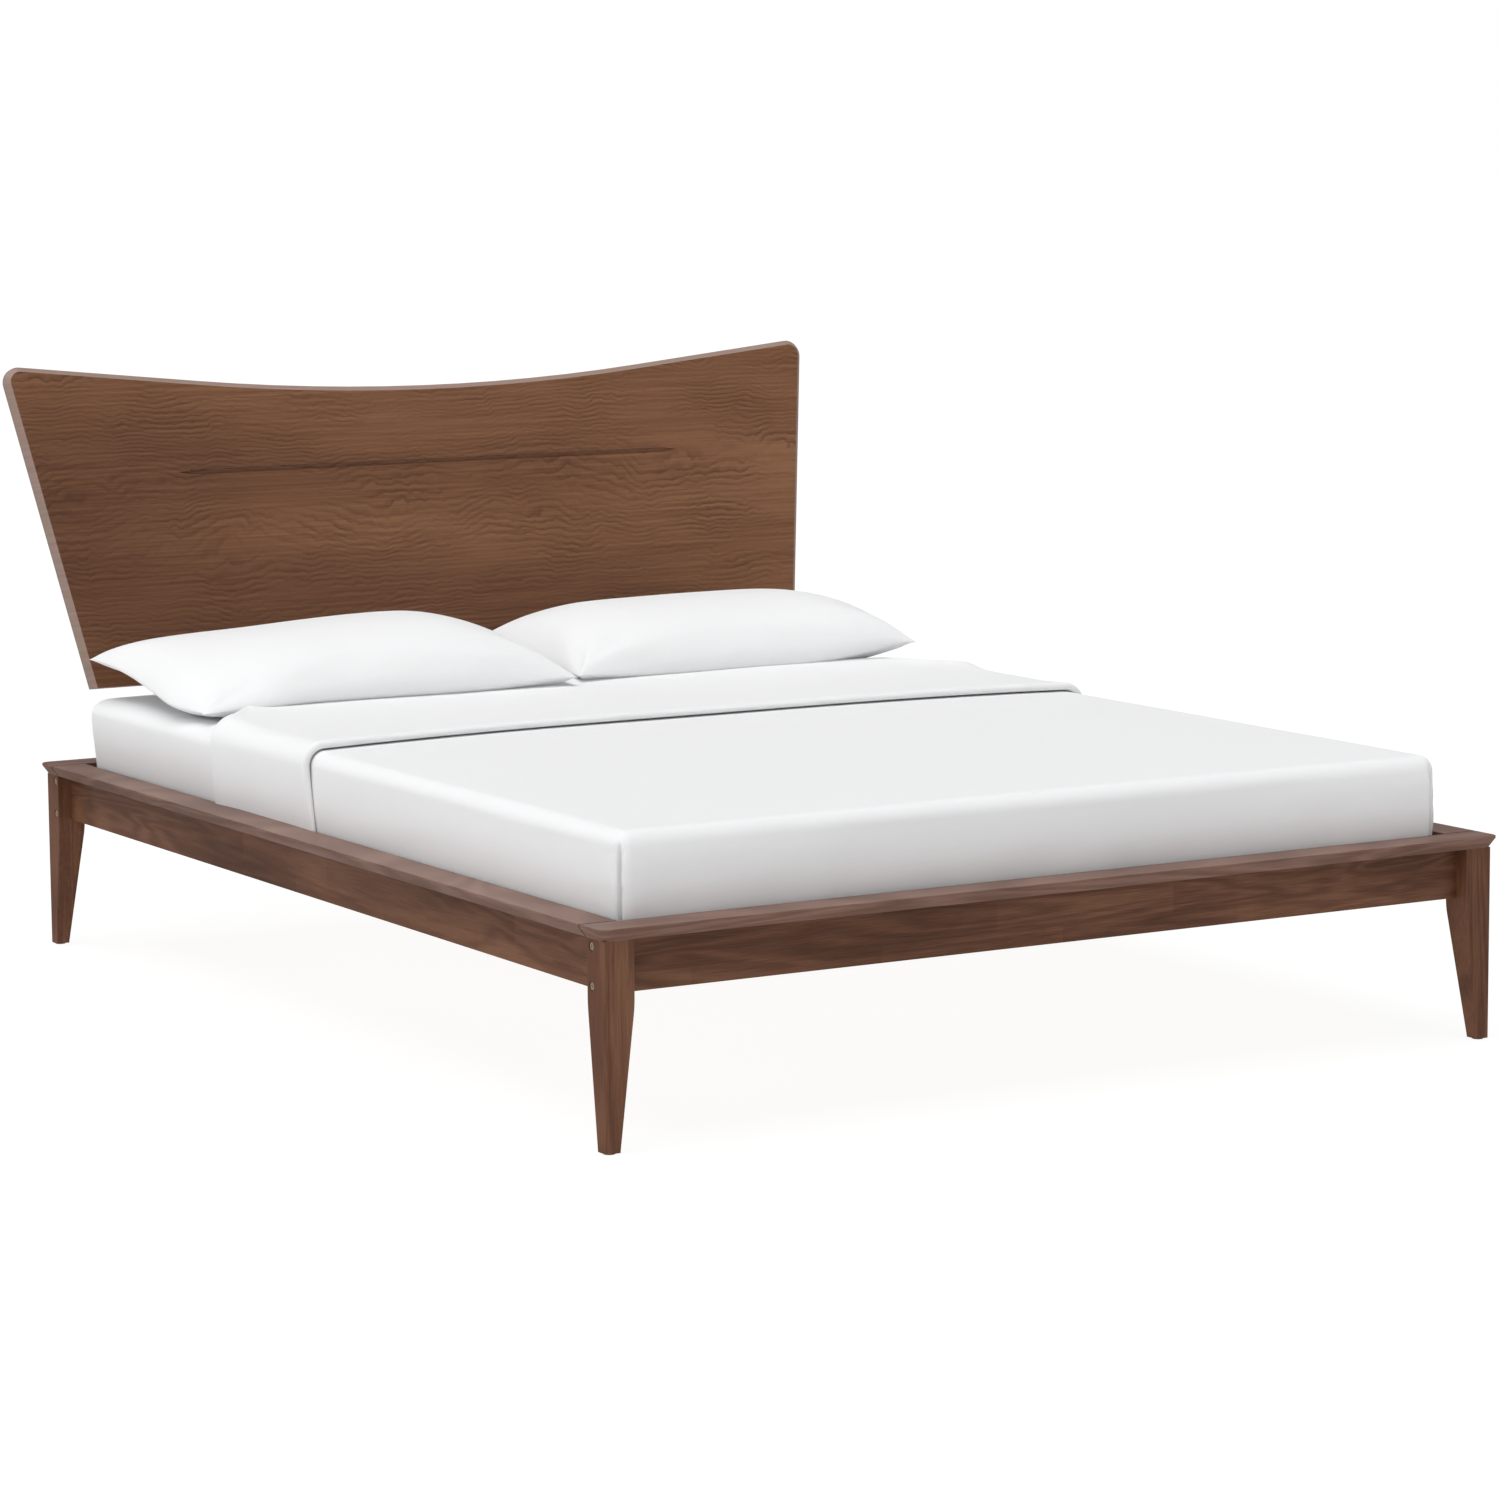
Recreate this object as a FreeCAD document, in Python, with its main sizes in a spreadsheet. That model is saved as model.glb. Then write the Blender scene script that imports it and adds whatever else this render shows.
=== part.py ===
import FreeCAD, Part
import math
import os
import re

import Sketcher

# A mid-century platform bed, queen size, dressed with its bedding.  Millimetres, +Z up.
# The foot end faces -Y and the headboard stands at +Y; "left" is -X, seen from the foot.
# The origin is on the floor, under the middle of the whole bed.

SIZES = {
    # legs: square under the cap, both inner faces tapered to the floor
    "bed_width": 1690,          # over the outer faces of the legs
    "bed_length": 2190,
    "middle_y": -46.95,         # middle of the four legs, from the origin
    "leg_top": 52,
    "leg_foot": 25,
    "taper_start": 224,
    "taper_bend": 220,          # radius that softens the start of the taper
    "leg_round": 2,
    "glide_thick": 2,
    "glide_radius": 9,
    # rails, set back from the legs' outer faces, under an overhanging cap
    "rail_setback": 26,
    "rail_thick": 26,
    "rail_bottom": 241,
    "under_cap": 326,
    "cap_thick": 20,
    "cap_width": 65,
    "cap_overhang": 12,
    "cap_bevel_rise": 16,       # the bevel under the cap's outer edge leaves a thin lip
    "cap_corner": 22,
    "cap_gap": 4,               # open joint between a side cap and an end cap
    "cap_round": 1.5,           # rounding of the caps' outer top edges
    "dowel_radius": 4,
    "dowel_length": 32,
    # bolts through the legs into barrel nuts in the end rails
    "bolt_inset": 39,
    "bolt_low": 253,
    "bolt_high": 314,
    "bolt_radius": 4,
    "bolt_length": 84,
    "bolt_head_radius": 6.5,
    "bolt_head_length": 6,
    "bolt_key": 2.5,            # half the width across flats of the hex socket
    "bore_clearance": 0.5,
    "counterbore_radius": 7.5,
    "counterbore_depth": 7,
    "barrel_radius": 6,
    "barrel_length": 18,
    "barrel_depth": 35,         # from the rail's end to the barrel nut's axis
    # headboard
    "rake": 13.71,              # degrees from upright
    "panel_thick": 18,
    "panel_bottom": 488,
    "panel_half_low": 772.5,
    "panel_half_high": 880,
    "panel_middle": 555,        # height at the middle, measured up the panel
    "crown_radius": 4565,
    "crown_half": 480,
    "panel_corner": 30,
    "panel_bevel": 10,
    "groove_half": 545,
    "groove_point": 30,
    "groove_half_height": 5,
    "groove_depth": 5,
    "groove_up": 402.5,
    # struts that carry the headboard
    "strut_x": 450,
    "strut_width": 70,
    "strut_thick": 22,
    "strut_bend": 544,
    "strut_reach": 440,
    "strut_softness": 60,
    "slot_clearance": 1,
    # slats, ledgers and the beam under them
    "ledger_thick": 22,
    "ledger_height": 24,
    "slat_thick": 18,
    "slat_width": 90,
    "slat_round": 2,
    "slat_clearance": 3,
    "slat_pitch": 164,
    "ledger_length": 2060,
    "slat_seat": 267,
    "beam_width": 60,
    "beam_height": 23,
    "bolt_sink": 5,             # how deep the centre leg's bolt head lies in the beam
    "plate": 3,
    "hanger_depth": 40,
    "hanger_width": 106,
    "hanger_height": 44,
    "centre_leg_width": 42,
    "centre_leg_y": 85,
    "centre_leg_bottom": 20,
    "insert_radius": 8,
    "insert_length": 20,
    "stem_radius": 5,
    "stem_clearance": 0.05,
    "stem_top": 50,
    "stem_travel": 10,
    "pad_radius": 19,
    "pad_height": 8,
    "pad_slope": 6,
    "pad_rim": 5,
    # corner brackets
    "bracket_leg": 60,
    "bracket_bottom": 276,
    "bracket_height": 44,
    "bracket_screw_low": 15,    # screw heights above the bracket's lower edge
    "bracket_screw_high": 28,
    # bedding, in layers that clear each other
    "mattress_width": 1552,     # a queen mattress, bulged to fill the space between the caps
    "mattress_length": 2048,
    "mattress_thick": 185.5,
    "bedding_shift": 1,         # towards the headboard, from the middle of the legs
    "mattress_round": 30,
    "layer_gap": 0.3,
    "sheet_thick": 2,
    "cover_thick": 6,
    "band_thick": 5,
    "band_start": 40,
    "band_end": 480,
    "pillow_length": 775,
    "pillow_depth": 500,
    "pillow_thick": 160,
    "pillow_round": 56,
    "pillow_inner": 6,
    "pillow_shift": -28,        # both pillows lie a little towards the left
    "pillow_front": 505,
}

SLAT_COUNT = 13
DOWELS_PER_CAP = 4
DOWEL_REACH = 0.85              # the outermost dowels, as a share of the rail's half length
LEDGER_SCREWS = 6
LEDGER_SCREW_STEP = 380
SIDES = (("left", -1), ("right", 1))
ENDS = (("foot", -1), ("head", 1))
# screws: shank radius, length, head radius, head height
STRUT_SCREW = (2.5, 33, 5, 3)
BRACKET_SCREW = (2.5, 22, 4.5, 2.5)
LEDGER_SCREW = (2.2, 40, 4.2, 2.6)
SLAT_SCREW = (2, 36, 4, 2.4)
CARRIAGE_BOLT = (4, 62, 10, 5)
LEG_BOLT = (4, 75, 10, 4.5)
BOLT_CLEAR = 0.05               # between a bolt and the thread that takes it
SCREW_CLEAR = 0.3               # between a screw and its hole in a plate or strut
WOOD_CLEAR = 0.2
WASHER = (10, 1.6)              # radius, thickness
NUT = (6.5, 6.5)                # half the width across flats, height
STRUT_BOLT_HEIGHTS = (262, 306)
STRUT_SCREW_GRID = [(across, up) for up in (90, 390) for across in (-20, 20)]
HANGER_SCREW_GRID = [(across, height) for across in (-43, 43) for height in (10, 34)]
BRACKET_SCREW_STEPS = (24, 48)  # along each arm from the corner

doc = FreeCAD.newDocument("PlatformBed")
sheet = doc.addObject("Spreadsheet::Sheet", "Dims")
for row, (name, value) in enumerate(SIZES.items(), start=1):
    sheet.set(f"A{row}", name)
    sheet.set(f"B{row}", str(value))
    sheet.setAlias(f"B{row}", name)
doc.recompute()

pieces = []


def size(name):
    """A driving dimension, as the sheet holds it."""
    return float(sheet.get(name))


def bound(text):
    """An expression written with plain names, pointed at the sheet's cells."""
    return re.sub("|".join(rf"\b{name}\b" for name in SIZES), lambda word: "Dims." + word.group(), str(text))


def bind(thing, **properties):
    for name, text in properties.items():
        thing.setExpression(name, bound(text))


def put(thing, x=0, y=0, z=0, axis=None, angle=0):
    """Place a thing; y is measured from the middle of the four legs."""
    if axis:
        thing.Placement = FreeCAD.Placement(FreeCAD.Vector(), FreeCAD.Rotation(FreeCAD.Vector(*axis), 10))
        thing.setExpression("Placement.Rotation.Angle", bound(angle))
    thing.setExpression("Placement.Base.x", bound(x))
    thing.setExpression("Placement.Base.y", bound(f"middle_y + ({y})"))
    thing.setExpression("Placement.Base.z", bound(z))


def body(label):
    new = doc.addObject("PartDesign::Body", label)
    new.Label = label
    pieces.append(new)
    return new


def base_plane(owner, role):
    return next(plane for plane in owner.Origin.OriginFeatures if plane.Role == role)


def empty_sketch(owner, role):
    sketch = owner.newObject("Sketcher::SketchObject", owner.Name + "_sketch")
    sketch.AttachmentSupport = (base_plane(owner, role), "")
    sketch.MapMode = "FlatFace"
    return sketch


def pin_corners(sketch, corners):
    """Bind the start of each edge of a closed outline to its corner."""
    for edge, corner in enumerate(corners):
        sketch.addConstraint(Sketcher.Constraint("Coincident", edge, 2, (edge + 1) % len(corners), 1))
    for edge, corner in enumerate(corners):
        for direction, text in zip(("DistanceX", "DistanceY"), corner):
            number = sketch.addConstraint(Sketcher.Constraint(direction, edge, 1, 1.0))
            sketch.setExpression(f"Constraints[{number}]", bound(text))


def outline(owner, role, corners):
    """A closed outline of straight edges whose corners are expressions."""
    sketch = empty_sketch(owner, role)
    ring = [FreeCAD.Vector(math.cos(turn), math.sin(turn), 0)
            for turn in (2 * math.pi * n / len(corners) for n in range(len(corners) + 1))]
    for start, end in zip(ring, ring[1:]):
        sketch.addGeometry(Part.LineSegment(start, end), False)
    pin_corners(sketch, corners)
    return sketch


def pad(owner, sketch, length, away=False, both=False):
    feature = owner.newObject("PartDesign::Pad", owner.Name + "_pad")
    feature.Profile = sketch
    feature.Reversed = away
    if both:
        feature.SideType = "Symmetric"
    bind(feature, Length=length)
    return feature


def cut_check(owner, feature):
    """Stop when a cut takes nothing away."""
    before = owner.Tip.Shape.Volume if owner.Tip is not feature else feature.BaseFeature.Shape.Volume
    doc.recompute()
    if not feature.Shape.Volume < before - 1e-3:
        raise RuntimeError(f"{feature.Name} cuts nothing")


def pocket(owner, sketch, depth=None, away=False):
    """Cut a sketch through the whole piece, or to a depth on one side."""
    doc.recompute()
    feature = owner.newObject("PartDesign::Pocket", owner.Name + "_pocket")
    feature.Profile = sketch
    feature.Reversed = away
    if depth is None:
        feature.Type = "ThroughAll"
        feature.SideType = "Symmetric"
    else:
        bind(feature, Length=depth)
    cut_check(owner, feature)
    return feature


def block(owner, length, width, height, x=0, y=0, z=0, cut=False):
    """A rectangular block from the corner x, y, z in the piece's own frame."""
    kind = "PartDesign::SubtractiveBox" if cut else "PartDesign::AdditiveBox"
    feature = owner.newObject(kind, owner.Name + "_block")
    bind(feature, Length=length, Width=width, Height=height)
    for axis, text in zip("xyz", (x, y, z)):
        feature.setExpression(f"Placement.Base.{axis}", bound(text))
    return feature


TURNS = {"+X": ((0, 1, 0), 90), "-X": ((0, 1, 0), -90), "+Y": ((1, 0, 0), -90), "-Y": ((1, 0, 0), 90),
         "+Z": ((0, 0, 1), 0), "-Z": ((1, 0, 0), 180)}


def drill(owner, way, radius, depth, x=0, y=0, z=0, mouth=None):
    """A hole from x, y, z along way; mouth is the radius of a countersink."""
    doc.recompute()
    kind = "PartDesign::SubtractiveCone" if mouth else "PartDesign::SubtractiveCylinder"
    feature = owner.newObject(kind, owner.Name + "_hole")
    axis, angle = TURNS[way]
    feature.Placement = FreeCAD.Placement(FreeCAD.Vector(), FreeCAD.Rotation(FreeCAD.Vector(*axis), angle))
    if mouth:
        bind(feature, Radius1=mouth, Radius2=radius, Height=depth)
    else:
        bind(feature, Radius=radius, Height=depth)
    for name, text in zip("xyz", (x, y, z)):
        feature.setExpression(f"Placement.Base.{name}", bound(text))
    cut_check(owner, feature)


def edges_where(shape, test):
    return [f"Edge{n}" for n, edge in enumerate(shape.Edges, start=1) if test(edge)]


def soften(owner, radius, test, kind="Fillet"):
    """Fillet or chamfer the edges of the piece so far that pass a test."""
    doc.recompute()
    tip = owner.Tip
    feature = owner.newObject("PartDesign::" + kind, owner.Name + "_edges")
    feature.Base = (tip, edges_where(tip.Shape, test))
    bind(feature, **{"Radius" if kind == "Fillet" else "Size": radius})
    doc.recompute()
    return feature


def is_along(edge, axis):
    """True for a straight edge that runs along X, Y or Z."""
    box = edge.BoundBox
    spans = {"X": box.XLength, "Y": box.YLength, "Z": box.ZLength}
    return spans.pop(axis) > 1e-3 and max(spans.values()) < 1e-3


def screw(shank_radius, length, head_radius, head_height, sunk=False):
    """A screw whose head sits on z = 0 and whose shank runs down from it; a sunk head lies below z = 0."""
    straight = length - shank_radius
    shank = Part.makeCylinder(shank_radius, straight, FreeCAD.Vector(0, 0, -straight))
    tip = Part.makeCone(0.3, shank_radius, shank_radius, FreeCAD.Vector(0, 0, -length))
    if sunk:
        head = Part.makeCone(shank_radius, head_radius, head_height, FreeCAD.Vector(0, 0, -head_height))
        recess = Part.makeCylinder(head_radius / 3, head_height / 2, FreeCAD.Vector(0, 0, -head_height / 2))
    else:
        head = Part.makeCylinder(head_radius, head_height)
        head = head.makeFillet(head_height * 0.45, [edge for edge in head.Edges if edge.BoundBox.ZMin > 1e-3])
        recess = Part.makeCylinder(head_radius / 3, head_height / 2, FreeCAD.Vector(0, 0, head_height / 2))
    return shank.fuse(tip).fuse(head).cut(recess).removeSplitter()


def way_of(direction):
    """The turn that takes +Z, where a fastener's head looks, to a direction."""
    return FreeCAD.Rotation(FreeCAD.Vector(0, 0, 1), FreeCAD.Vector(*direction))


def group(label, shape, spots):
    """Copies of one fastener, as separate solids of one piece.

    Each spot is x, y, z and the direction its head looks; y is from the middle of the legs.
    """
    copies = []
    for x, y, z, direction in spots:
        copy = shape.copy()
        copy.Placement = FreeCAD.Placement(FreeCAD.Vector(x, y, z), way_of(direction))
        copies.append(copy)
    feature = doc.addObject("Part::Feature", label)
    feature.Label = label
    feature.Shape = Part.makeCompound(copies)
    feature.Placement = FreeCAD.Placement(FreeCAD.Vector(0, size("middle_y"), 0), FreeCAD.Rotation())
    pieces.append(feature)


# ---------------------------------------------------------------- legs

HALF_WIDTH = "bed_width / 2"
HALF_LENGTH = "bed_length / 2"


def leg(label, side, end):
    """A leg with its outer corner on the piece's own z axis and its bulk towards the bed."""
    new = body(label)
    profile = outline(new, "XZ_Plane", [
        (0, "glide_thick"),
        (f"{-side} * leg_foot", "glide_thick"),
        (f"{-side} * leg_top", "taper_start"),
        (f"{-side} * leg_top", "under_cap"),
        (0, "under_cap"),
    ])
    pad(new, profile, "leg_top", away=end < 0)
    taper = outline(new, "YZ_Plane", [
        (f"{-end} * leg_foot", "glide_thick"),
        (f"{-end} * leg_top", "taper_start"),
        (f"{-end} * 2 * leg_top", "taper_start"),
        (f"{-end} * 2 * leg_top", "glide_thick"),
    ])
    pocket(new, taper)
    bend = size("taper_start")
    soften(new, "taper_bend",
           lambda edge: abs(edge.BoundBox.ZMin - bend) < 1 and edge.BoundBox.ZLength < 1e-3)
    soften(new, "leg_round", lambda edge: is_along(edge, "Z") and edge.BoundBox.ZLength > 200
           and abs(edge.BoundBox.XMin) < 1e-3 and abs(edge.BoundBox.YMin) < 1e-3)
    way = "-X" if side > 0 else "+X"
    for height in ("bolt_low", "bolt_high"):
        across = f"{-end} * bolt_inset"
        drill(new, way, "bolt_radius + bore_clearance", "leg_top + 2", f"{side}", across, height)
        drill(new, way, "counterbore_radius", "counterbore_depth + 1", f"{side}", across, height)
    put(new, f"{side} * {HALF_WIDTH}", f"{end} * {HALF_LENGTH}")


for end_name, end in ENDS:
    for side_name, side in SIDES:
        leg(f"leg_{end_name}_{side_name}", side, end)

glide_inset = size("leg_foot") / 2
glide_x = size("bed_width") / 2 - glide_inset
glide_y = size("bed_length") / 2 - glide_inset
glide_spots = [(side * glide_x, end * glide_y, 0, (0, 0, 1)) for _, side in SIDES for _, end in ENDS]
group("leg_glides", Part.makeCylinder(size("glide_radius"), size("glide_thick")), glide_spots)

# ---------------------------------------------------------------- rails and caps

RAIL_HEIGHT = "under_cap - rail_bottom"
END_RAIL_HALF = "(bed_width / 2 - leg_top)"
SIDE_RAIL_HALF = "(bed_length / 2 - leg_top)"
DOWEL_SINK = "dowel_length / 2"


DOWEL_STEPS = [DOWEL_REACH * (2 * n / (DOWELS_PER_CAP - 1) - 1) for n in range(DOWELS_PER_CAP)]


def end_rail(label, end):
    """A cross rail with its outer face on the piece's own XZ plane."""
    new = body(label)
    inward = "0" if end < 0 else "-rail_thick"
    block(new, f"2 * {END_RAIL_HALF}", "rail_thick", RAIL_HEIGHT, f"-{END_RAIL_HALF}", inward, "rail_bottom")
    bolt_y = f"{-end} * (bolt_inset - rail_setback)"
    nut_y = "rail_thick + 1" if end < 0 else "-rail_thick - 1"
    for _, side in SIDES:
        for height in ("bolt_low", "bolt_high"):
            drill(new, "-X" if side > 0 else "+X", "bolt_radius + bore_clearance", "barrel_depth + 20",
                  f"{side} * ({END_RAIL_HALF} + 1)", bolt_y, height)
            drill(new, "-Y" if end < 0 else "+Y", "barrel_radius", "barrel_length + 4",
                  f"{side} * ({END_RAIL_HALF} - barrel_depth)", nut_y, height)
    for step in DOWEL_STEPS:
        drill(new, "-Z", "dowel_radius", f"{DOWEL_SINK} + 1",
              f"{step} * {END_RAIL_HALF}", bolt_y, "under_cap + 1")
    put(new, 0, f"{end} * ({HALF_LENGTH} - rail_setback)")
    return new


def side_rail(label, side):
    new = body(label)
    inward = "0" if side < 0 else "-rail_thick"
    block(new, "rail_thick", f"2 * {SIDE_RAIL_HALF}", RAIL_HEIGHT,
          inward, f"-{SIDE_RAIL_HALF}", "rail_bottom")
    for step in DOWEL_STEPS:
        drill(new, "-Z", "dowel_radius", f"{DOWEL_SINK} + 1",
              f"{-side} * rail_thick / 2", f"{step} * {SIDE_RAIL_HALF}", "under_cap + 1")
    put(new, f"{side} * ({HALF_WIDTH} - rail_setback)")


def bevel_under(owner, test):
    """The bevel under a cap's outer edge: as deep as the overhang, and taller."""
    feature = soften(owner, "cap_overhang", test, kind="Chamfer")
    feature.ChamferType = "Two distances"
    feature.FlipDirection = True
    bind(feature, Size2="cap_bevel_rise")
    doc.recompute()


def end_cap(label, end):
    """A cap across one end, over both legs, with its outer edge on the piece's own XZ plane."""
    new = body(label)
    inward = "0" if end < 0 else "-cap_width"
    half = f"({HALF_WIDTH} + cap_overhang)"
    block(new, f"2 * {half}", "cap_width", "cap_thick", f"-{half}", inward, 0)
    soften(new, "cap_corner", lambda edge: is_along(edge, "Z") and abs(edge.BoundBox.YMin) < 1e-3)
    inner_y = -end * size("cap_width")
    top = size("cap_thick")

    def is_outer(edge):
        return abs((edge.BoundBox.YMin + edge.BoundBox.YMax) / 2 - inner_y) > 1e-3

    bevel_under(new, lambda edge: edge.BoundBox.ZMax < 1e-3 and is_outer(edge))
    soften(new, "cap_round", lambda edge: edge.BoundBox.ZMin > top - 1e-3 and is_outer(edge))
    for step in DOWEL_STEPS:
        drill(new, "+Z", "dowel_radius", f"{DOWEL_SINK} + 1",
              f"{step} * {END_RAIL_HALF}", f"{-end} * (cap_overhang + bolt_inset)", -1)
    put(new, 0, f"{end} * ({HALF_LENGTH} + cap_overhang)", "under_cap")
    return new


def side_cap(label, side):
    new = body(label)
    inward = "0" if side < 0 else "-cap_width"
    half = f"({HALF_LENGTH} + cap_overhang - cap_width - cap_gap)"
    block(new, "cap_width", f"2 * {half}", "cap_thick", inward, f"-{half}", 0)
    top = size("cap_thick")

    def is_outer(edge):
        return is_along(edge, "Y") and abs(edge.BoundBox.XMin) < 1e-3

    bevel_under(new, lambda edge: is_outer(edge) and edge.BoundBox.ZMax < 1e-3)
    soften(new, "cap_round", lambda edge: is_outer(edge) and edge.BoundBox.ZMin > top - 1e-3)
    dowel_x = f"{-side} * (cap_overhang + rail_setback + rail_thick / 2)"
    for step in DOWEL_STEPS:
        drill(new, "+Z", "dowel_radius", f"{DOWEL_SINK} + 1", dowel_x, f"{step} * {SIDE_RAIL_HALF}", -1)
    put(new, f"{side} * ({HALF_WIDTH} + cap_overhang)", 0, "under_cap")


foot_rail = end_rail("foot_rail", -1)
head_rail = end_rail("head_rail", 1)
for side_name, side in SIDES:
    side_rail(f"side_rail_{side_name}", side)
foot_cap = end_cap("foot_cap", -1)
head_cap = end_cap("head_cap", 1)
for side_name, side in SIDES:
    side_cap(f"side_cap_{side_name}", side)

end_half = size("bed_width") / 2 - size("leg_top")
side_half = size("bed_length") / 2 - size("leg_top")
dowel_bottom = size("under_cap") - size("dowel_length") / 2
dowel_y = size("bed_length") / 2 - size("bolt_inset")
dowel_x = size("bed_width") / 2 - size("rail_setback") - size("rail_thick") / 2
dowel_spots = [(step * end_half, end * dowel_y, dowel_bottom, (0, 0, 1))
               for _, end in ENDS for step in DOWEL_STEPS]
dowel_spots += [(side * dowel_x, step * side_half, dowel_bottom, (0, 0, 1))
                for _, side in SIDES for step in DOWEL_STEPS]
group("cap_dowels", Part.makeCylinder(size("dowel_radius"), size("dowel_length")), dowel_spots)

# ---------------------------------------------------------------- leg bolts and barrel nuts


def hex_prism(half_flats, height, z=0):
    corner = half_flats / math.cos(math.pi / 6)
    turns = [n * math.pi / 3 for n in range(7)]
    ring = [FreeCAD.Vector(corner * math.cos(turn), corner * math.sin(turn), z) for turn in turns]
    return Part.Face(Part.makePolygon(ring)).extrude(FreeCAD.Vector(0, 0, height))


def socket_bolt(length, radius, head_radius, head_length, key):
    """A socket head bolt: its head stands on z = 0 and its shank runs down."""
    head = Part.makeCylinder(head_radius, head_length)
    head = head.makeFillet(0.8, [edge for edge in head.Edges if edge.BoundBox.ZMin > 1e-3])
    shank = Part.makeCylinder(radius, length, FreeCAD.Vector(0, 0, -length))
    return head.fuse(shank).cut(hex_prism(key, head_length / 2, head_length / 2)).removeSplitter()


leg_bolt = socket_bolt(size("bolt_length"), size("bolt_radius") - BOLT_CLEAR, size("bolt_head_radius"),
                       size("bolt_head_length"), size("bolt_key"))
bolt_x = size("bed_width") / 2 - size("counterbore_depth")
bolt_y = size("bed_length") / 2 - size("bolt_inset")
bolt_heights = (size("bolt_low"), size("bolt_high"))
corner_spots = [(side, end * bolt_y, height)
                for _, end in ENDS for _, side in SIDES for height in bolt_heights]
group("leg_bolts", leg_bolt, [(side * bolt_x, y, height, (side, 0, 0)) for side, y, height in corner_spots])

nut_length = size("barrel_length")
barrel = Part.makeCylinder(size("barrel_radius"), nut_length, FreeCAD.Vector(0, 0, -nut_length / 2))
across_barrel = (FreeCAD.Vector(-nut_length, 0, 0), FreeCAD.Vector(1, 0, 0))
barrel = barrel.cut(Part.makeCylinder(size("bolt_radius"), 2 * nut_length, *across_barrel))
barrel_x = end_half - size("barrel_depth")
group("barrel_nuts", barrel, [(side * barrel_x, y, height, (0, 1, 0)) for side, y, height in corner_spots])

# ---------------------------------------------------------------- headboard

PANEL_STAND = (f"{HALF_LENGTH} - rail_setback - panel_thick / cos(rake)"
               " - (strut_bend - panel_bottom) * tan(rake)")
CROWN_RISE = "panel_middle + crown_radius - sqrt(crown_radius ^ 2 - crown_half ^ 2)"
CORNER_RISE = f"{CROWN_RISE} + (panel_half_high - crown_half) * tan(asin(crown_half / crown_radius))"


def headboard_panel():
    """A fan-shaped panel, hollowed along the top, lying back by the rake.

    In its own frame the front face is the XZ plane and its lower edge is at z = 0.
    """
    new = body("headboard_panel")
    low, high, crown, radius = (size(name) for name in
                                ("panel_half_low", "panel_half_high", "crown_half", "crown_radius"))
    swing = math.asin(crown / radius)
    crown_z = size("panel_middle") + radius * (1 - math.cos(swing))
    corner_z = crown_z + (high - crown) * math.tan(swing)
    ring = [FreeCAD.Vector(x, z, 0) for x, z in
            ((crown, crown_z), (high, corner_z), (low, 0), (-low, 0), (-high, corner_z), (-crown, crown_z))]
    sketch = empty_sketch(new, "XZ_Plane")
    for start, end in zip(ring, ring[1:]):
        sketch.addGeometry(Part.LineSegment(start, end), False)
    circle = Part.Circle(FreeCAD.Vector(0, size("panel_middle") + radius, 0), FreeCAD.Vector(0, 0, 1), radius)
    down = -math.pi / 2
    sketch.addGeometry(Part.ArcOfCircle(circle, down - swing, down + swing), False)
    pin_corners(sketch, [
        ("crown_half", CROWN_RISE),
        ("panel_half_high", CORNER_RISE),
        ("panel_half_low", 0),
        ("-panel_half_low", 0),
        ("-panel_half_high", CORNER_RISE),
        ("-crown_half", CROWN_RISE),
    ])
    number = sketch.addConstraint(Sketcher.Constraint("Radius", len(ring) - 1, radius))
    sketch.setExpression(f"Constraints[{number}]", bound("crown_radius"))
    pad(new, sketch, "panel_thick", away=True)
    soften(new, "panel_corner",
           lambda edge: is_along(edge, "Y") and abs(edge.BoundBox.XMax) > (low + high) / 2)
    soften(new, "panel_bevel",
           lambda edge: edge.BoundBox.YMax < 1e-3 and edge.BoundBox.ZMax > 1, kind="Chamfer")
    tip = "groove_half - groove_point"
    groove = outline(new, "XZ_Plane", [
        ("-groove_half", "groove_up"),
        (f"-({tip})", "groove_up - groove_half_height"),
        (tip, "groove_up - groove_half_height"),
        ("groove_half", "groove_up"),
        (tip, "groove_up + groove_half_height"),
        (f"-({tip})", "groove_up + groove_half_height"),
    ])
    pocket(new, groove, "groove_depth")
    put(new, 0, PANEL_STAND, "panel_bottom", axis=(-1, 0, 0), angle="rake")


def strut_back_point(up):
    """The middle of a strut's back face, this far up its leaning part, in the strut's frame."""
    lean = math.radians(size("rake"))
    thick = size("strut_thick")
    return FreeCAD.Vector(0, up * math.sin(lean) + thick * math.cos(lean),
                          size("strut_bend") + up * math.cos(lean) - thick * math.sin(lean))


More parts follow.
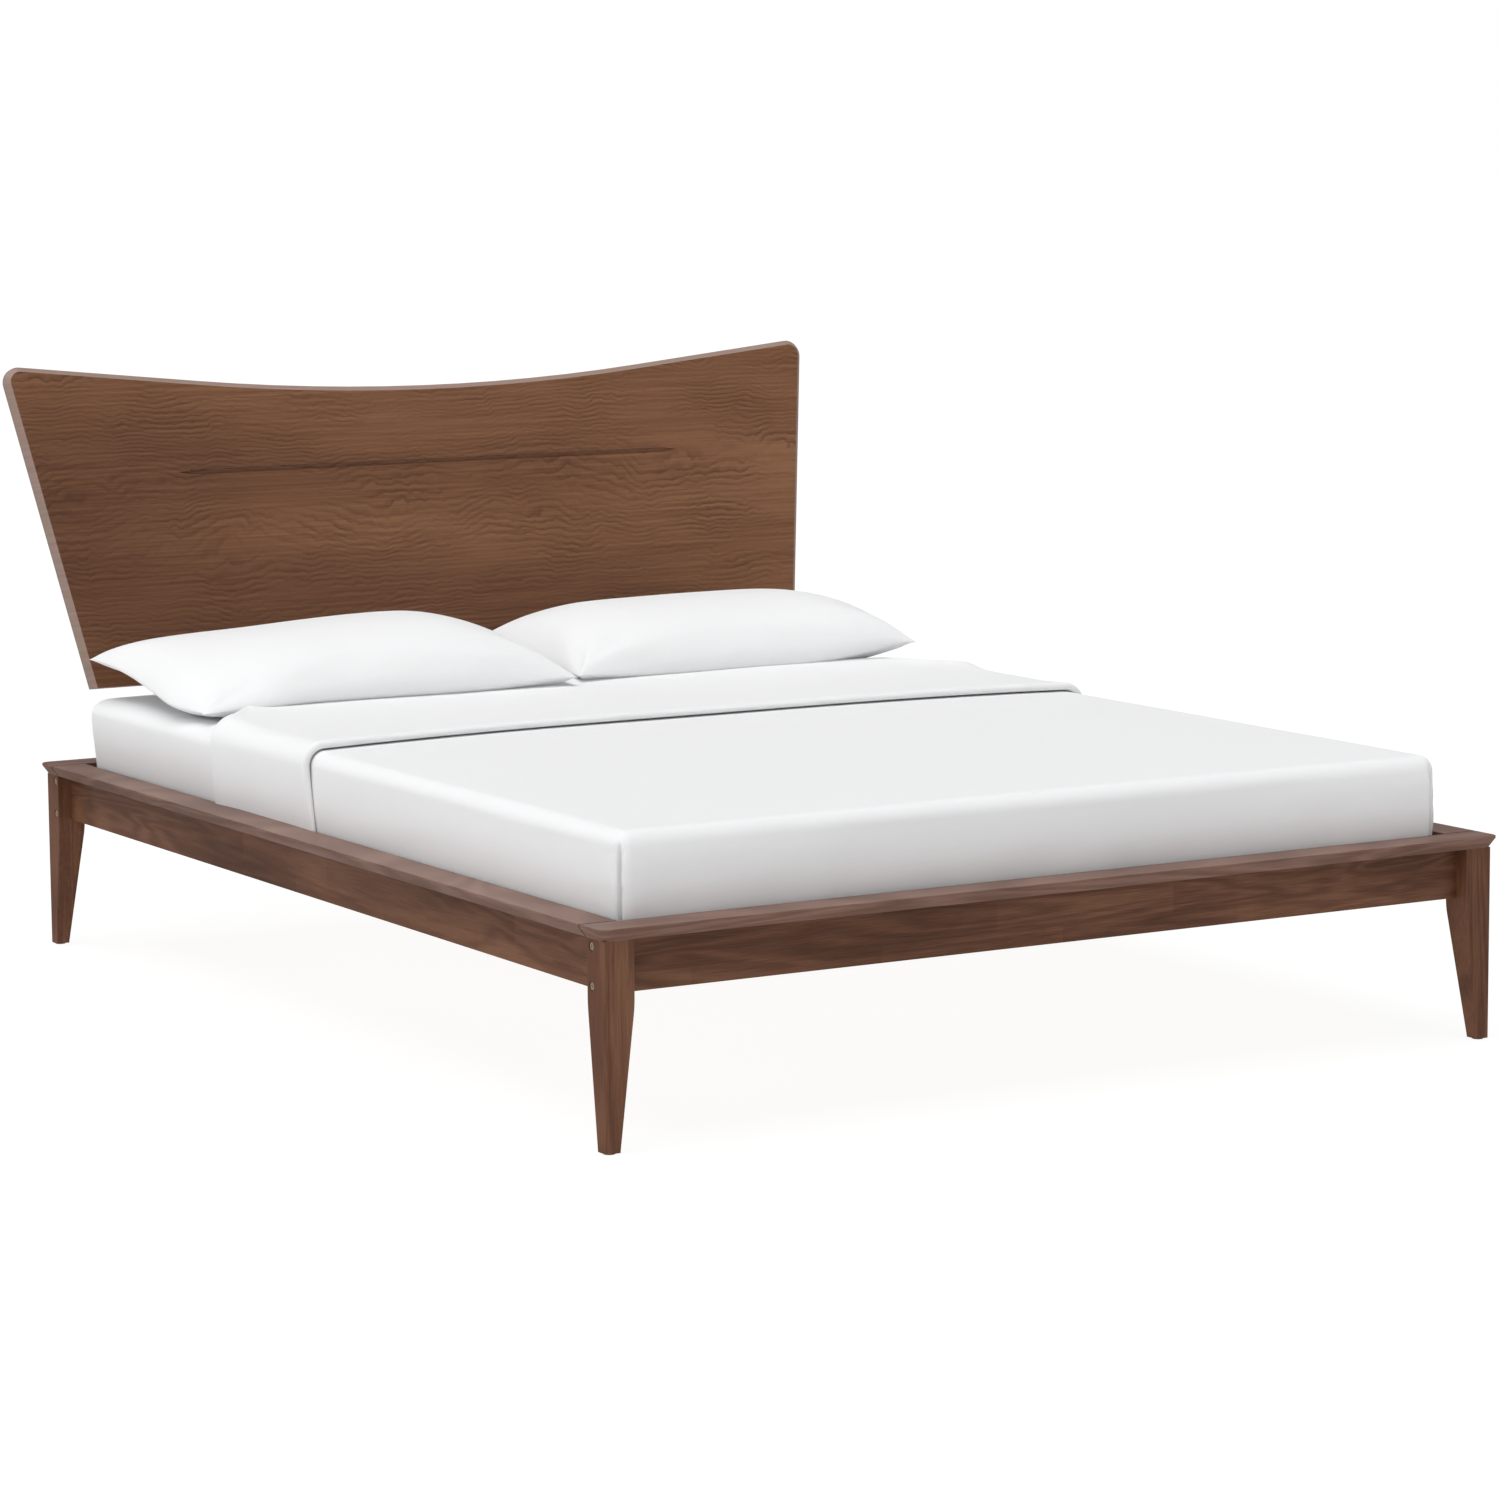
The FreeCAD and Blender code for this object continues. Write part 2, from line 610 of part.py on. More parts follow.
def headboard_strut(label, side):
    """A post bent by the rake: upright on the head rail, then lying along the panel's back."""
    new = body(label)
    high_y = "strut_reach * sin(rake)"
    high_z = "strut_bend + strut_reach * cos(rake)"
    profile = outline(new, "YZ_Plane", [
        (0, "rail_bottom"),
        ("strut_thick", "rail_bottom"),
        ("strut_thick", "strut_bend - strut_thick * tan(rake / 2)"),
        (f"{high_y} + strut_thick * cos(rake)", f"{high_z} - strut_thick * sin(rake)"),
        (high_y, high_z),
        (0, "strut_bend"),
    ])
    pad(new, profile, "strut_width", both=True)
    bend = size("strut_bend")
    back = size("strut_thick") - 1e-3
    soften(new, "strut_softness", lambda edge: is_along(edge, "X") and edge.BoundBox.YMin > back
           and abs(edge.BoundBox.ZMin - bend) < 10)
    for height in STRUT_BOLT_HEIGHTS:
        drill(new, "+Y", "bolt_radius + bore_clearance", "strut_thick + 2", 0, -1, height)
    lean = FreeCAD.Rotation(FreeCAD.Vector(-1, 0, 0), size("rake"))
    for across, up in STRUT_SCREW_GRID:
        point = strut_back_point(up)
        doc.recompute()
        hole = new.newObject("PartDesign::SubtractiveCylinder", label + "_hole")
        hole.Radius = STRUT_SCREW[0] + SCREW_CLEAR
        hole.Height = 2 * size("strut_thick")
        turn = lean.multiply(FreeCAD.Rotation(FreeCAD.Vector(1, 0, 0), 90))
        start = point + lean.multVec(FreeCAD.Vector(across, 1, 0))
        hole.Placement = FreeCAD.Placement(start, turn)
        cut_check(new, hole)
    put(new, f"{side} * strut_x", f"{HALF_LENGTH} - rail_setback")


headboard_panel()
for side_name, side in SIDES:
    headboard_strut(f"headboard_strut_{side_name}", side)
strut_y = size("bed_length") / 2 - size("rail_setback")
lean = math.radians(size("rake"))
panel_screws = []
for _, side in SIDES:
    for across, up in STRUT_SCREW_GRID:
        spot = strut_back_point(up)
        panel_screws.append((side * size("strut_x") + across, strut_y + spot.y, spot.z,
                             (0, math.cos(lean), -math.sin(lean))))
group("strut_panel_screws", screw(*STRUT_SCREW), panel_screws)

for _, side in SIDES:
    for height in STRUT_BOLT_HEIGHTS:
        drill(head_rail, "-Y", "bolt_radius + bore_clearance", "rail_thick + 2",
              f"{side} * strut_x", 1, height)
    slot = "(strut_width / 2 + slot_clearance)"
    block(head_cap, f"2 * {slot}", "strut_thick + 2 * slot_clearance", "cap_thick + 2",
          f"{side} * strut_x - {slot}", "-cap_overhang - rail_setback - slot_clearance", -1, cut=True)

rail_bolt_spots = [(side * size("strut_x"), strut_y + size("strut_thick"), height, (0, 1, 0))
                   for _, side in SIDES for height in STRUT_BOLT_HEIGHTS]
shank, length, head, head_height = CARRIAGE_BOLT
dome = Part.makeCylinder(head, head_height)
dome = dome.makeFillet(head_height * 0.8, [edge for edge in dome.Edges if edge.BoundBox.ZMin > 1e-3])
carriage = dome.fuse(Part.makeCylinder(shank, length, FreeCAD.Vector(0, 0, -length))).removeSplitter()
group("strut_rail_bolts", carriage, rail_bolt_spots)
washer = Part.makeCylinder(*WASHER)
nut = washer.fuse(hex_prism(*NUT, WASHER[1]))
nut = nut.cut(Part.makeCylinder(shank + BOLT_CLEAR, length, FreeCAD.Vector(0, 0, -length / 2)))
group("strut_rail_nuts", nut.removeSplitter(),
      [(x, strut_y - size("rail_thick"), z, (0, -1, 0)) for x, _, z, _ in rail_bolt_spots])

# ---------------------------------------------------------------- slats, ledgers and the centre beam

LEDGER_BOTTOM = "slat_seat - ledger_height"
INNER_HALF = f"({HALF_WIDTH} - rail_setback - rail_thick)"
INNER_LENGTH = f"({HALF_LENGTH} - rail_setback - rail_thick)"
SLAT_HALF = f"({INNER_HALF} - slat_clearance)"
SLAT_HOLE = f"({INNER_HALF} - ledger_thick / 2)"
LEDGER_SCREW_SPOTS = [LEDGER_SCREW_STEP * (n - (LEDGER_SCREWS - 1) / 2) for n in range(LEDGER_SCREWS)]

for side_name, side in SIDES:
    ledger = body(f"side_ledger_{side_name}")
    inward = "0" if side < 0 else "-ledger_thick"
    block(ledger, "ledger_thick", "ledger_length", "ledger_height", inward, "-ledger_length / 2", 0)
    for along in LEDGER_SCREW_SPOTS:
        drill(ledger, "-X" if side < 0 else "+X", LEDGER_SCREW[0] + WOOD_CLEAR, "ledger_thick + 2",
              f"{-side} * (ledger_thick + 1)", along, "ledger_height / 2")
    put(ledger, f"{side} * {INNER_HALF}", 0, LEDGER_BOTTOM)

inner_half = size("bed_width") / 2 - size("rail_setback") - size("rail_thick")
ledger_face = inner_half - size("ledger_thick")
ledger_mid = size("slat_seat") - size("ledger_height") / 2
group("ledger_screws", screw(*LEDGER_SCREW),
      [(side * ledger_face, along, ledger_mid, (-side, 0, 0))
       for _, side in SIDES for along in LEDGER_SCREW_SPOTS])

SLAT_STEPS = [n - (SLAT_COUNT - 1) / 2 for n in range(SLAT_COUNT)]

for number, step in enumerate(SLAT_STEPS, start=1):
    slat = body(f"slat_{number:02d}")
    block(slat, f"2 * {SLAT_HALF}", "slat_width", "slat_thick", f"-{SLAT_HALF}", "-slat_width / 2", 0)
    soften(slat, "slat_round", lambda edge: is_along(edge, "X"))
    for _, side in SIDES:
        across = f"{side} * {SLAT_HOLE}"
        drill(slat, "-Z", SLAT_SCREW[0] + WOOD_CLEAR, "slat_thick + 2", across, 0, "slat_thick + 1")
        drill(slat, "-Z", SLAT_SCREW[0] + WOOD_CLEAR, SLAT_SCREW[3], across, 0, "slat_thick",
              mouth=SLAT_SCREW[2] + WOOD_CLEAR)
    put(slat, 0, f"{step} * slat_pitch", "slat_seat")

slat_top = size("slat_seat") + size("slat_thick")
screw_x = inner_half - size("ledger_thick") / 2
group("slat_screws", screw(*SLAT_SCREW, sunk=True),
      [(side * screw_x, step * size("slat_pitch"), slat_top, (0, 0, 1))
       for _, side in SIDES for step in SLAT_STEPS])

centre_beam = body("centre_beam")
BEAM_HALF = f"({SIDE_RAIL_HALF} - plate)"
block(centre_beam, "beam_width", f"2 * {BEAM_HALF}", "beam_height", "-beam_width / 2", f"-{BEAM_HALF}", 0)
put(centre_beam, 0, 0, "slat_seat - beam_height")
for radius, depth in (("bolt_radius", "beam_height + 2"), (LEG_BOLT[2], "bolt_sink + 1")):
    drill(centre_beam, "-Z", f"{radius} + bore_clearance", depth, 0, "centre_leg_y", "beam_height + 1")


def beam_hanger(label, end):
    """A steel plate screwed to the end rail, with a channel that cradles the beam's end."""
    new = body(label)
    away = end < 0
    plate_face = outline(new, "XZ_Plane", [
        ("-hanger_width / 2", 0),
        ("hanger_width / 2", 0),
        ("hanger_width / 2", "hanger_height"),
        ("-hanger_width / 2", "hanger_height"),
    ])
    pad(new, plate_face, "plate", away=away)
    outer, inner = "(beam_width / 2 + plate)", "(beam_width / 2)"
    channel = outline(new, "XZ_Plane", [
        (f"-{outer}", 0),
        (outer, 0),
        (outer, "plate + beam_height"),
        (inner, "plate + beam_height"),
        (inner, "plate"),
        (f"-{inner}", "plate"),
        (f"-{inner}", "plate + beam_height"),
        (f"-{outer}", "plate + beam_height"),
    ])
    pad(new, channel, "hanger_depth", away=away)
    for across, height in HANGER_SCREW_GRID:
        drill(new, "+Y" if away else "-Y", BRACKET_SCREW[0] + SCREW_CLEAR, "plate + 2", across, end, height)
    put(new, 0, f"{end} * {INNER_LENGTH}", "slat_seat - beam_height - plate")


for end_name, end in ENDS:
    beam_hanger(f"beam_hanger_{end_name}", end)
rail_inner_y = size("bed_length") / 2 - size("rail_setback") - size("rail_thick")
hanger_bottom = size("slat_seat") - size("beam_height") - size("plate")
group("hanger_screws", screw(*BRACKET_SCREW),
      [(across, end * (rail_inner_y - size("plate")), hanger_bottom + height, (0, -end, 0))
       for _, end in ENDS for across, height in HANGER_SCREW_GRID])

# ---------------------------------------------------------------- centre leg and its levelling foot

centre_leg = body("centre_leg")
block(centre_leg, "centre_leg_width", "centre_leg_width", "slat_seat - beam_height - centre_leg_bottom",
      "-centre_leg_width / 2", "-centre_leg_width / 2", 0)
soften(centre_leg, "cap_round", lambda edge: is_along(edge, "Z"))
drill(centre_leg, "+Z", "stem_radius + bore_clearance",
      "stem_top + stem_travel - centre_leg_bottom + 6", 0, 0, -1)
drill(centre_leg, "+Z", "insert_radius", "insert_length + 1", 0, 0, -1)
put(centre_leg, 0, "centre_leg_y", "centre_leg_bottom")

insert = body("leveller_insert")
sleeve = insert.newObject("PartDesign::AdditiveCylinder", "insert_barrel")
bind(sleeve, Radius="insert_radius", Height="insert_length")
drill(insert, "+Z", "stem_radius + stem_clearance", "insert_length + 2", 0, 0, -1)
put(insert, 0, "centre_leg_y", "centre_leg_bottom")

foot = body("levelling_foot")
foot_profile = outline(foot, "XZ_Plane", [
    (0, 0),
    ("pad_radius", 0),
    ("pad_radius", "pad_rim"),
    ("pad_radius - pad_slope", "pad_height"),
    ("stem_radius", "pad_height"),
    ("stem_radius", "stem_top"),
    (0, "stem_top"),
])
turned = foot.newObject("PartDesign::Revolution", "foot_turned")
turned.Profile = foot_profile
turned.ReferenceAxis = (foot_profile, ["V_Axis"])
put(foot, 0, "centre_leg_y", 0)

bolt_seat = size("slat_seat") - size("bolt_sink")
group("centre_leg_bolt", screw(*LEG_BOLT), [(0, size("centre_leg_y"), bolt_seat, (0, 0, 1))])

# ---------------------------------------------------------------- corner brackets

BRACKET_SCREW_GRID = [(along, height) for along in BRACKET_SCREW_STEPS
                      for height in ("bracket_screw_low", "bracket_screw_high")]
side_reach = inner_half - size("plate")
end_reach = rail_inner_y - size("plate")
bracket_spots = []
for end_name, end in ENDS:
    for side_name, side in SIDES:
        bracket = body(f"corner_bracket_{end_name}_{side_name}")
        angle_outline = outline(bracket, "XY_Plane", [
            (0, 0),
            (f"{-side} * bracket_leg", 0),
            (f"{-side} * bracket_leg", f"{-end} * plate"),
            (f"{-side} * plate", f"{-end} * plate"),
            (f"{-side} * plate", f"{-end} * bracket_leg"),
            (0, f"{-end} * bracket_leg"),
        ])
        pad(bracket, angle_outline, "bracket_height")
        for along, height in BRACKET_SCREW_GRID:
            hole = BRACKET_SCREW[0] + SCREW_CLEAR
            drill(bracket, "+X" if side < 0 else "-X", hole, "plate + 2", side, -end * along, height)
            drill(bracket, "+Y" if end < 0 else "-Y", hole, "plate + 2", -side * along, end, height)
            rise = size("bracket_bottom") + size(height)
            bracket_spots.append((side * side_reach, end * (rail_inner_y - along), rise, (-side, 0, 0)))
            bracket_spots.append((side * (inner_half - along), end * end_reach, rise, (0, -end, 0)))
        put(bracket, f"{side} * {INNER_HALF}", f"{end} * {INNER_LENGTH}", "bracket_bottom")
group("bracket_screws", screw(*BRACKET_SCREW), bracket_spots)

# ---------------------------------------------------------------- bedding

MATTRESS_BOTTOM = "slat_seat + slat_thick + layer_gap"
SHEET_GROWTH = "(layer_gap + sheet_thick)"
COVER_GROWTH = "(layer_gap + sheet_thick + layer_gap + cover_thick)"
BAND_GROWTH = "(layer_gap + sheet_thick + layer_gap + cover_thick + layer_gap + band_thick)"

mattress = body("mattress")
block(mattress, "mattress_width", "mattress_length", "mattress_thick",
      "-mattress_width / 2", "-mattress_length / 2", 0)
soften(mattress, "mattress_round", lambda edge: True)
put(mattress, 0, "bedding_shift", MATTRESS_BOTTOM)


def cover_block(owner, growth, foot_y, head_y, floor, closed):
    """A block as wide and high as the mattress plus growth, rounded except at its open ends."""
    half = f"(mattress_width / 2 + {growth})"
    block(owner, f"2 * {half}", f"({head_y}) - ({foot_y})", f"mattress_thick + {growth} - ({floor})",
          f"-{half}", foot_y, floor)
    top = size("mattress_thick")

    def is_rounded(edge):
        if is_along(edge, "Y"):
            return edge.BoundBox.ZMin > top
        at_end = "foot" if edge.BoundBox.YMax < 0 else "head"
        return at_end in closed and (is_along(edge, "Z") or edge.BoundBox.ZMin > top)

    soften(owner, f"mattress_round + {growth}", is_rounded)


def draped_layer(label, growth, thickness, foot_y, head_y, closed=()):
    """A cover over the mattress, open below and at each end that isn't closed."""
    new = body(label)
    cover_block(new, growth, foot_y, head_y, 1, closed)
    hollow = doc.addObject("PartDesign::Body", label + "_hollow")
    inner_foot = f"{foot_y} + {thickness}" if "foot" in closed else f"{foot_y} - 10"
    inner_head = f"{head_y} - {thickness}" if "head" in closed else f"{head_y} + 10"
    cover_block(hollow, f"({growth} - {thickness})", inner_foot, inner_head, -10, closed)
    cut = new.newObject("PartDesign::Boolean", label + "_cut")
    cut.Type = "Cut"
    cut.setObjects([hollow])
    doc.recompute()
    put(new, 0, "bedding_shift", MATTRESS_BOTTOM)


mattress_end = "mattress_length / 2"
draped_layer("fitted_sheet", SHEET_GROWTH, "sheet_thick", f"-({mattress_end} + {SHEET_GROWTH})",
             f"{mattress_end} + {SHEET_GROWTH}", closed=("foot", "head"))
draped_layer("coverlet", COVER_GROWTH, "cover_thick", f"-({mattress_end} + {COVER_GROWTH})",
             "band_end - 20", closed=("foot",))
draped_layer("turned_back_band", BAND_GROWTH, "band_thick", "band_start", "band_end")

PILLOW_BOTTOM = f"{MATTRESS_BOTTOM} + mattress_thick + {SHEET_GROWTH} + layer_gap"
for side_name, side in SIDES:
    pillow = body(f"pillow_{side_name}")
    inner = "pillow_inner" if side > 0 else "-pillow_inner - pillow_length"
    block(pillow, "pillow_length", "pillow_depth", "pillow_thick", inner, 0, 0)
    soften(pillow, "pillow_round", lambda edge: True)
    put(pillow, "pillow_shift", "pillow_front", PILLOW_BOTTOM)

# ---------------------------------------------------------------- check and export

doc.recompute()
for thing in doc.Objects:
    if {"Invalid", "Error"} & set(thing.State):
        raise RuntimeError(f"{thing.Label} failed: {thing.State}")
for piece in pieces:
    if piece.Shape.isNull() or not piece.Shape.isValid() or not piece.Shape.Solids:
        raise RuntimeError(f"{piece.Label} has no valid shape")

os.makedirs("parts", exist_ok=True)
for piece in pieces:
    piece.Shape.exportStep(f"parts/{piece.Label}.step")
whole = FreeCAD.BoundBox()
for piece in pieces:
    whole.add(piece.Shape.BoundBox)
print(len(pieces), "pieces", whole)
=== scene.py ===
import math

import bmesh
import bpy
import numpy as np
from mathutils import Matrix, Vector, noise


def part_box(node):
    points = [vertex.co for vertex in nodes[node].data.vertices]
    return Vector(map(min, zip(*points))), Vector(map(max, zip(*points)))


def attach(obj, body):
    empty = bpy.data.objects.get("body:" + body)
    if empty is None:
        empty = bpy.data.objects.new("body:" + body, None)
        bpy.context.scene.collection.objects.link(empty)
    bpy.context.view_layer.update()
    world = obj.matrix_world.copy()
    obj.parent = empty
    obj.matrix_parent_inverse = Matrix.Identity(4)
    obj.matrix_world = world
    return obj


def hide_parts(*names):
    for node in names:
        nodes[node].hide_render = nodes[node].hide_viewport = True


# The looks of a platform bed: stained wood, steel fittings and white bedding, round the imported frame.
# Metres, +Z up.  The headboard stands at +Y; "left" is -X, seen from the foot.

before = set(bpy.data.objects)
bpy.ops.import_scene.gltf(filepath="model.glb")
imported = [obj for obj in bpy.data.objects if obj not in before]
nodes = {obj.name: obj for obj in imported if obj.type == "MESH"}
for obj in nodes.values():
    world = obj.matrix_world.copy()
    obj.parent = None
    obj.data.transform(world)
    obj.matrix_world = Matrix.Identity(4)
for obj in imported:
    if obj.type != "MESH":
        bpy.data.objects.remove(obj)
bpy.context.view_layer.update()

# ---------------------------------------------------------------- places taken from the frame

MATTRESS_LOW, MATTRESS_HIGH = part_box("mattress")
SHEET_LOW, SHEET_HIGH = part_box("fitted_sheet")
COVER_LOW, COVER_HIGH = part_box("coverlet")
BAND_LOW, BAND_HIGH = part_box("turned_back_band")
RAKE = math.radians(13.71)
PANEL_UP = Vector((0, math.sin(RAKE), math.cos(RAKE)))
PANEL_FRONT = Vector((0, -PANEL_UP.z, PANEL_UP.y))
GROOVE_DEPTH, GROOVE_HALF = 0.005, 0.56

# ---------------------------------------------------------------- small tools for node materials


class Shader:
    """A short way to write a node tree."""

    def __init__(self, name):
        self.material = bpy.data.materials.new(name)
        self.material.use_nodes = True
        self.tree = self.material.node_tree
        self.shader = self.tree.nodes["Principled BSDF"]

    def node(self, kind, **settings):
        new = self.tree.nodes.new(kind)
        for name, value in settings.items():
            if name in new.inputs:
                self.plug(new.inputs[name], value)
            else:
                setattr(new, name, value)
        return new

    def plug(self, socket, value):
        if isinstance(value, bpy.types.NodeSocket):
            self.tree.links.new(value, socket)
        else:
            socket.default_value = value

    def math(self, operation, first, second=0.0, third=0.0):
        new = self.node("ShaderNodeMath", operation=operation)
        for socket, value in zip(new.inputs, (first, second, third)):
            self.plug(socket, value)
        return new.outputs[0]

    def vector(self, x, y, z):
        return self.node("ShaderNodeCombineXYZ", X=x, Y=y, Z=z).outputs[0]

    def noise(self, vector, scale, detail=2.0, roughness=0.5, distortion=0.0):
        return self.node("ShaderNodeTexNoise", Vector=vector, Scale=scale, Detail=detail,
                         Roughness=roughness, Distortion=distortion).outputs["Fac"]

    def ramp(self, factor, *stops):
        new = self.node("ShaderNodeValToRGB", Fac=factor)
        elements = new.color_ramp.elements
        while len(elements) < len(stops):
            elements.new(0.5)
        for element, (place, colour) in zip(elements, stops):
            element.position = place
            element.color = (*colour, 1.0) if len(colour) == 3 else colour
        return new.outputs["Color"]

    def mix(self, factor, first, second, blend="MIX"):
        new = self.node("ShaderNodeMix", data_type="RGBA", blend_type=blend)
        self.plug(new.inputs["Factor"], factor)
        self.plug(new.inputs["A"], first if isinstance(first, bpy.types.NodeSocket) else (*first, 1.0))
        self.plug(new.inputs["B"], second if isinstance(second, bpy.types.NodeSocket) else (*second, 1.0))
        return new.outputs["Result"]

    def bump(self, height, distance, strength=1.0):
        return self.node("ShaderNodeBump", Height=height, Distance=distance,
                         Strength=strength).outputs["Normal"]

    def finish(self, **sockets):
        for name, value in sockets.items():
            self.plug(self.shader.inputs[name.replace("_", " ")], value)
        return self.material


def object_space(s):
    """The piece's own coordinates, in metres, apart and together."""
    place = s.node("ShaderNodeTexCoord").outputs["Object"]
    parts = s.node("ShaderNodeSeparateXYZ", Vector=place).outputs
    return place, parts["X"], parts["Y"], parts["Z"]


# ---------------------------------------------------------------- materials

STAIN_DARK = (0.046, 0.017, 0.009)
STAIN_MID = (0.122, 0.049, 0.025)
STAIN_LIGHT = (0.235, 0.108, 0.058)
CAP_TONES = (0.075, 0.034, 0.023), (0.168, 0.088, 0.063), (0.290, 0.175, 0.135)


def solid_wood(name, grain, dark=STAIN_DARK, mid=STAIN_MID, light=STAIN_LIGHT, stave=0.0, roughness=0.40,
               coat=0.06):
    """Stained solid wood with its grain along one axis; stave is the width of glued boards, 0 for none."""
    s = Shader(name)
    _, x, y, z = object_space(s)
    along, across, deep = {"X": (x, z, y), "Y": (y, z, x), "Z": (z, x, y)}[grain]
    shift = s.math("MULTIPLY", deep, 1.7)
    figure_place = s.vector(s.math("MULTIPLY", along, 1.1), s.math("MULTIPLY", across, 14.0), shift)
    field = s.noise(figure_place, 1.0, detail=3.0, roughness=0.45, distortion=0.6)
    rings = s.math("SINE", s.math("MULTIPLY", field, 70.0))
    rings = s.math("MULTIPLY_ADD", rings, 0.5, 0.5)
    fibre_place = s.vector(s.math("MULTIPLY", along, 18.0), s.math("MULTIPLY", across, 620.0),
                           s.math("MULTIPLY", deep, 620.0))
    fibre = s.noise(fibre_place, 1.0, detail=2.0, roughness=0.6)
    blotch = s.noise(s.vector(s.math("MULTIPLY", along, 2.4), s.math("MULTIPLY", across, 9.0), shift), 1.0,
                     detail=3.0)
    tone = s.math("ADD", s.math("MULTIPLY", rings, 0.16), s.math("MULTIPLY", fibre, 0.50))
    tone = s.math("ADD", tone, s.math("MULTIPLY", blotch, 0.62))
    if stave:
        boards = s.node("ShaderNodeTexBrick", Vector=s.vector(along, s.math("ADD", across, 0.013), 0.0),
                        Color1=(0, 0, 0, 1), Color2=(1, 1, 1, 1), Mortar=(0.35, 0.35, 0.35, 1),
                        Scale=1.0, offset=0.37, squash=1.0)
        boards.inputs["Mortar Size"].default_value = 0.0003
        boards.inputs["Brick Width"].default_value = 0.34
        boards.inputs["Row Height"].default_value = stave
        tone = s.math("ADD", tone, s.math("MULTIPLY_ADD", boards.outputs["Color"], 0.16, -0.08))
    colour = s.ramp(tone, (0.30, dark), (0.62, mid), (0.98, light))
    height = s.math("ADD", s.math("MULTIPLY", fibre, 0.7), s.math("MULTIPLY", rings, 0.3))
    gloss = s.math("MULTIPLY_ADD", fibre, 0.14, roughness - 0.07)
    return s.finish(Base_Color=colour, Roughness=gloss, Normal=s.bump(height, 0.00018, 0.7),
                    Specular_IOR_Level=0.22, Coat_Weight=coat, Coat_Roughness=0.28)


def groove_height():
    """Where the headboard's groove lies, measured up the panel, from the bottom of its V."""
    depths = [(point.co @ PANEL_FRONT, point.co) for point in nodes["headboard_panel"].data.vertices]
    front = max(depth for depth, _ in depths)
    inner = [place @ PANEL_UP for depth, place in depths if abs(front - GROOVE_DEPTH - depth) < 0.0004]
    return sum(inner) / len(inner)


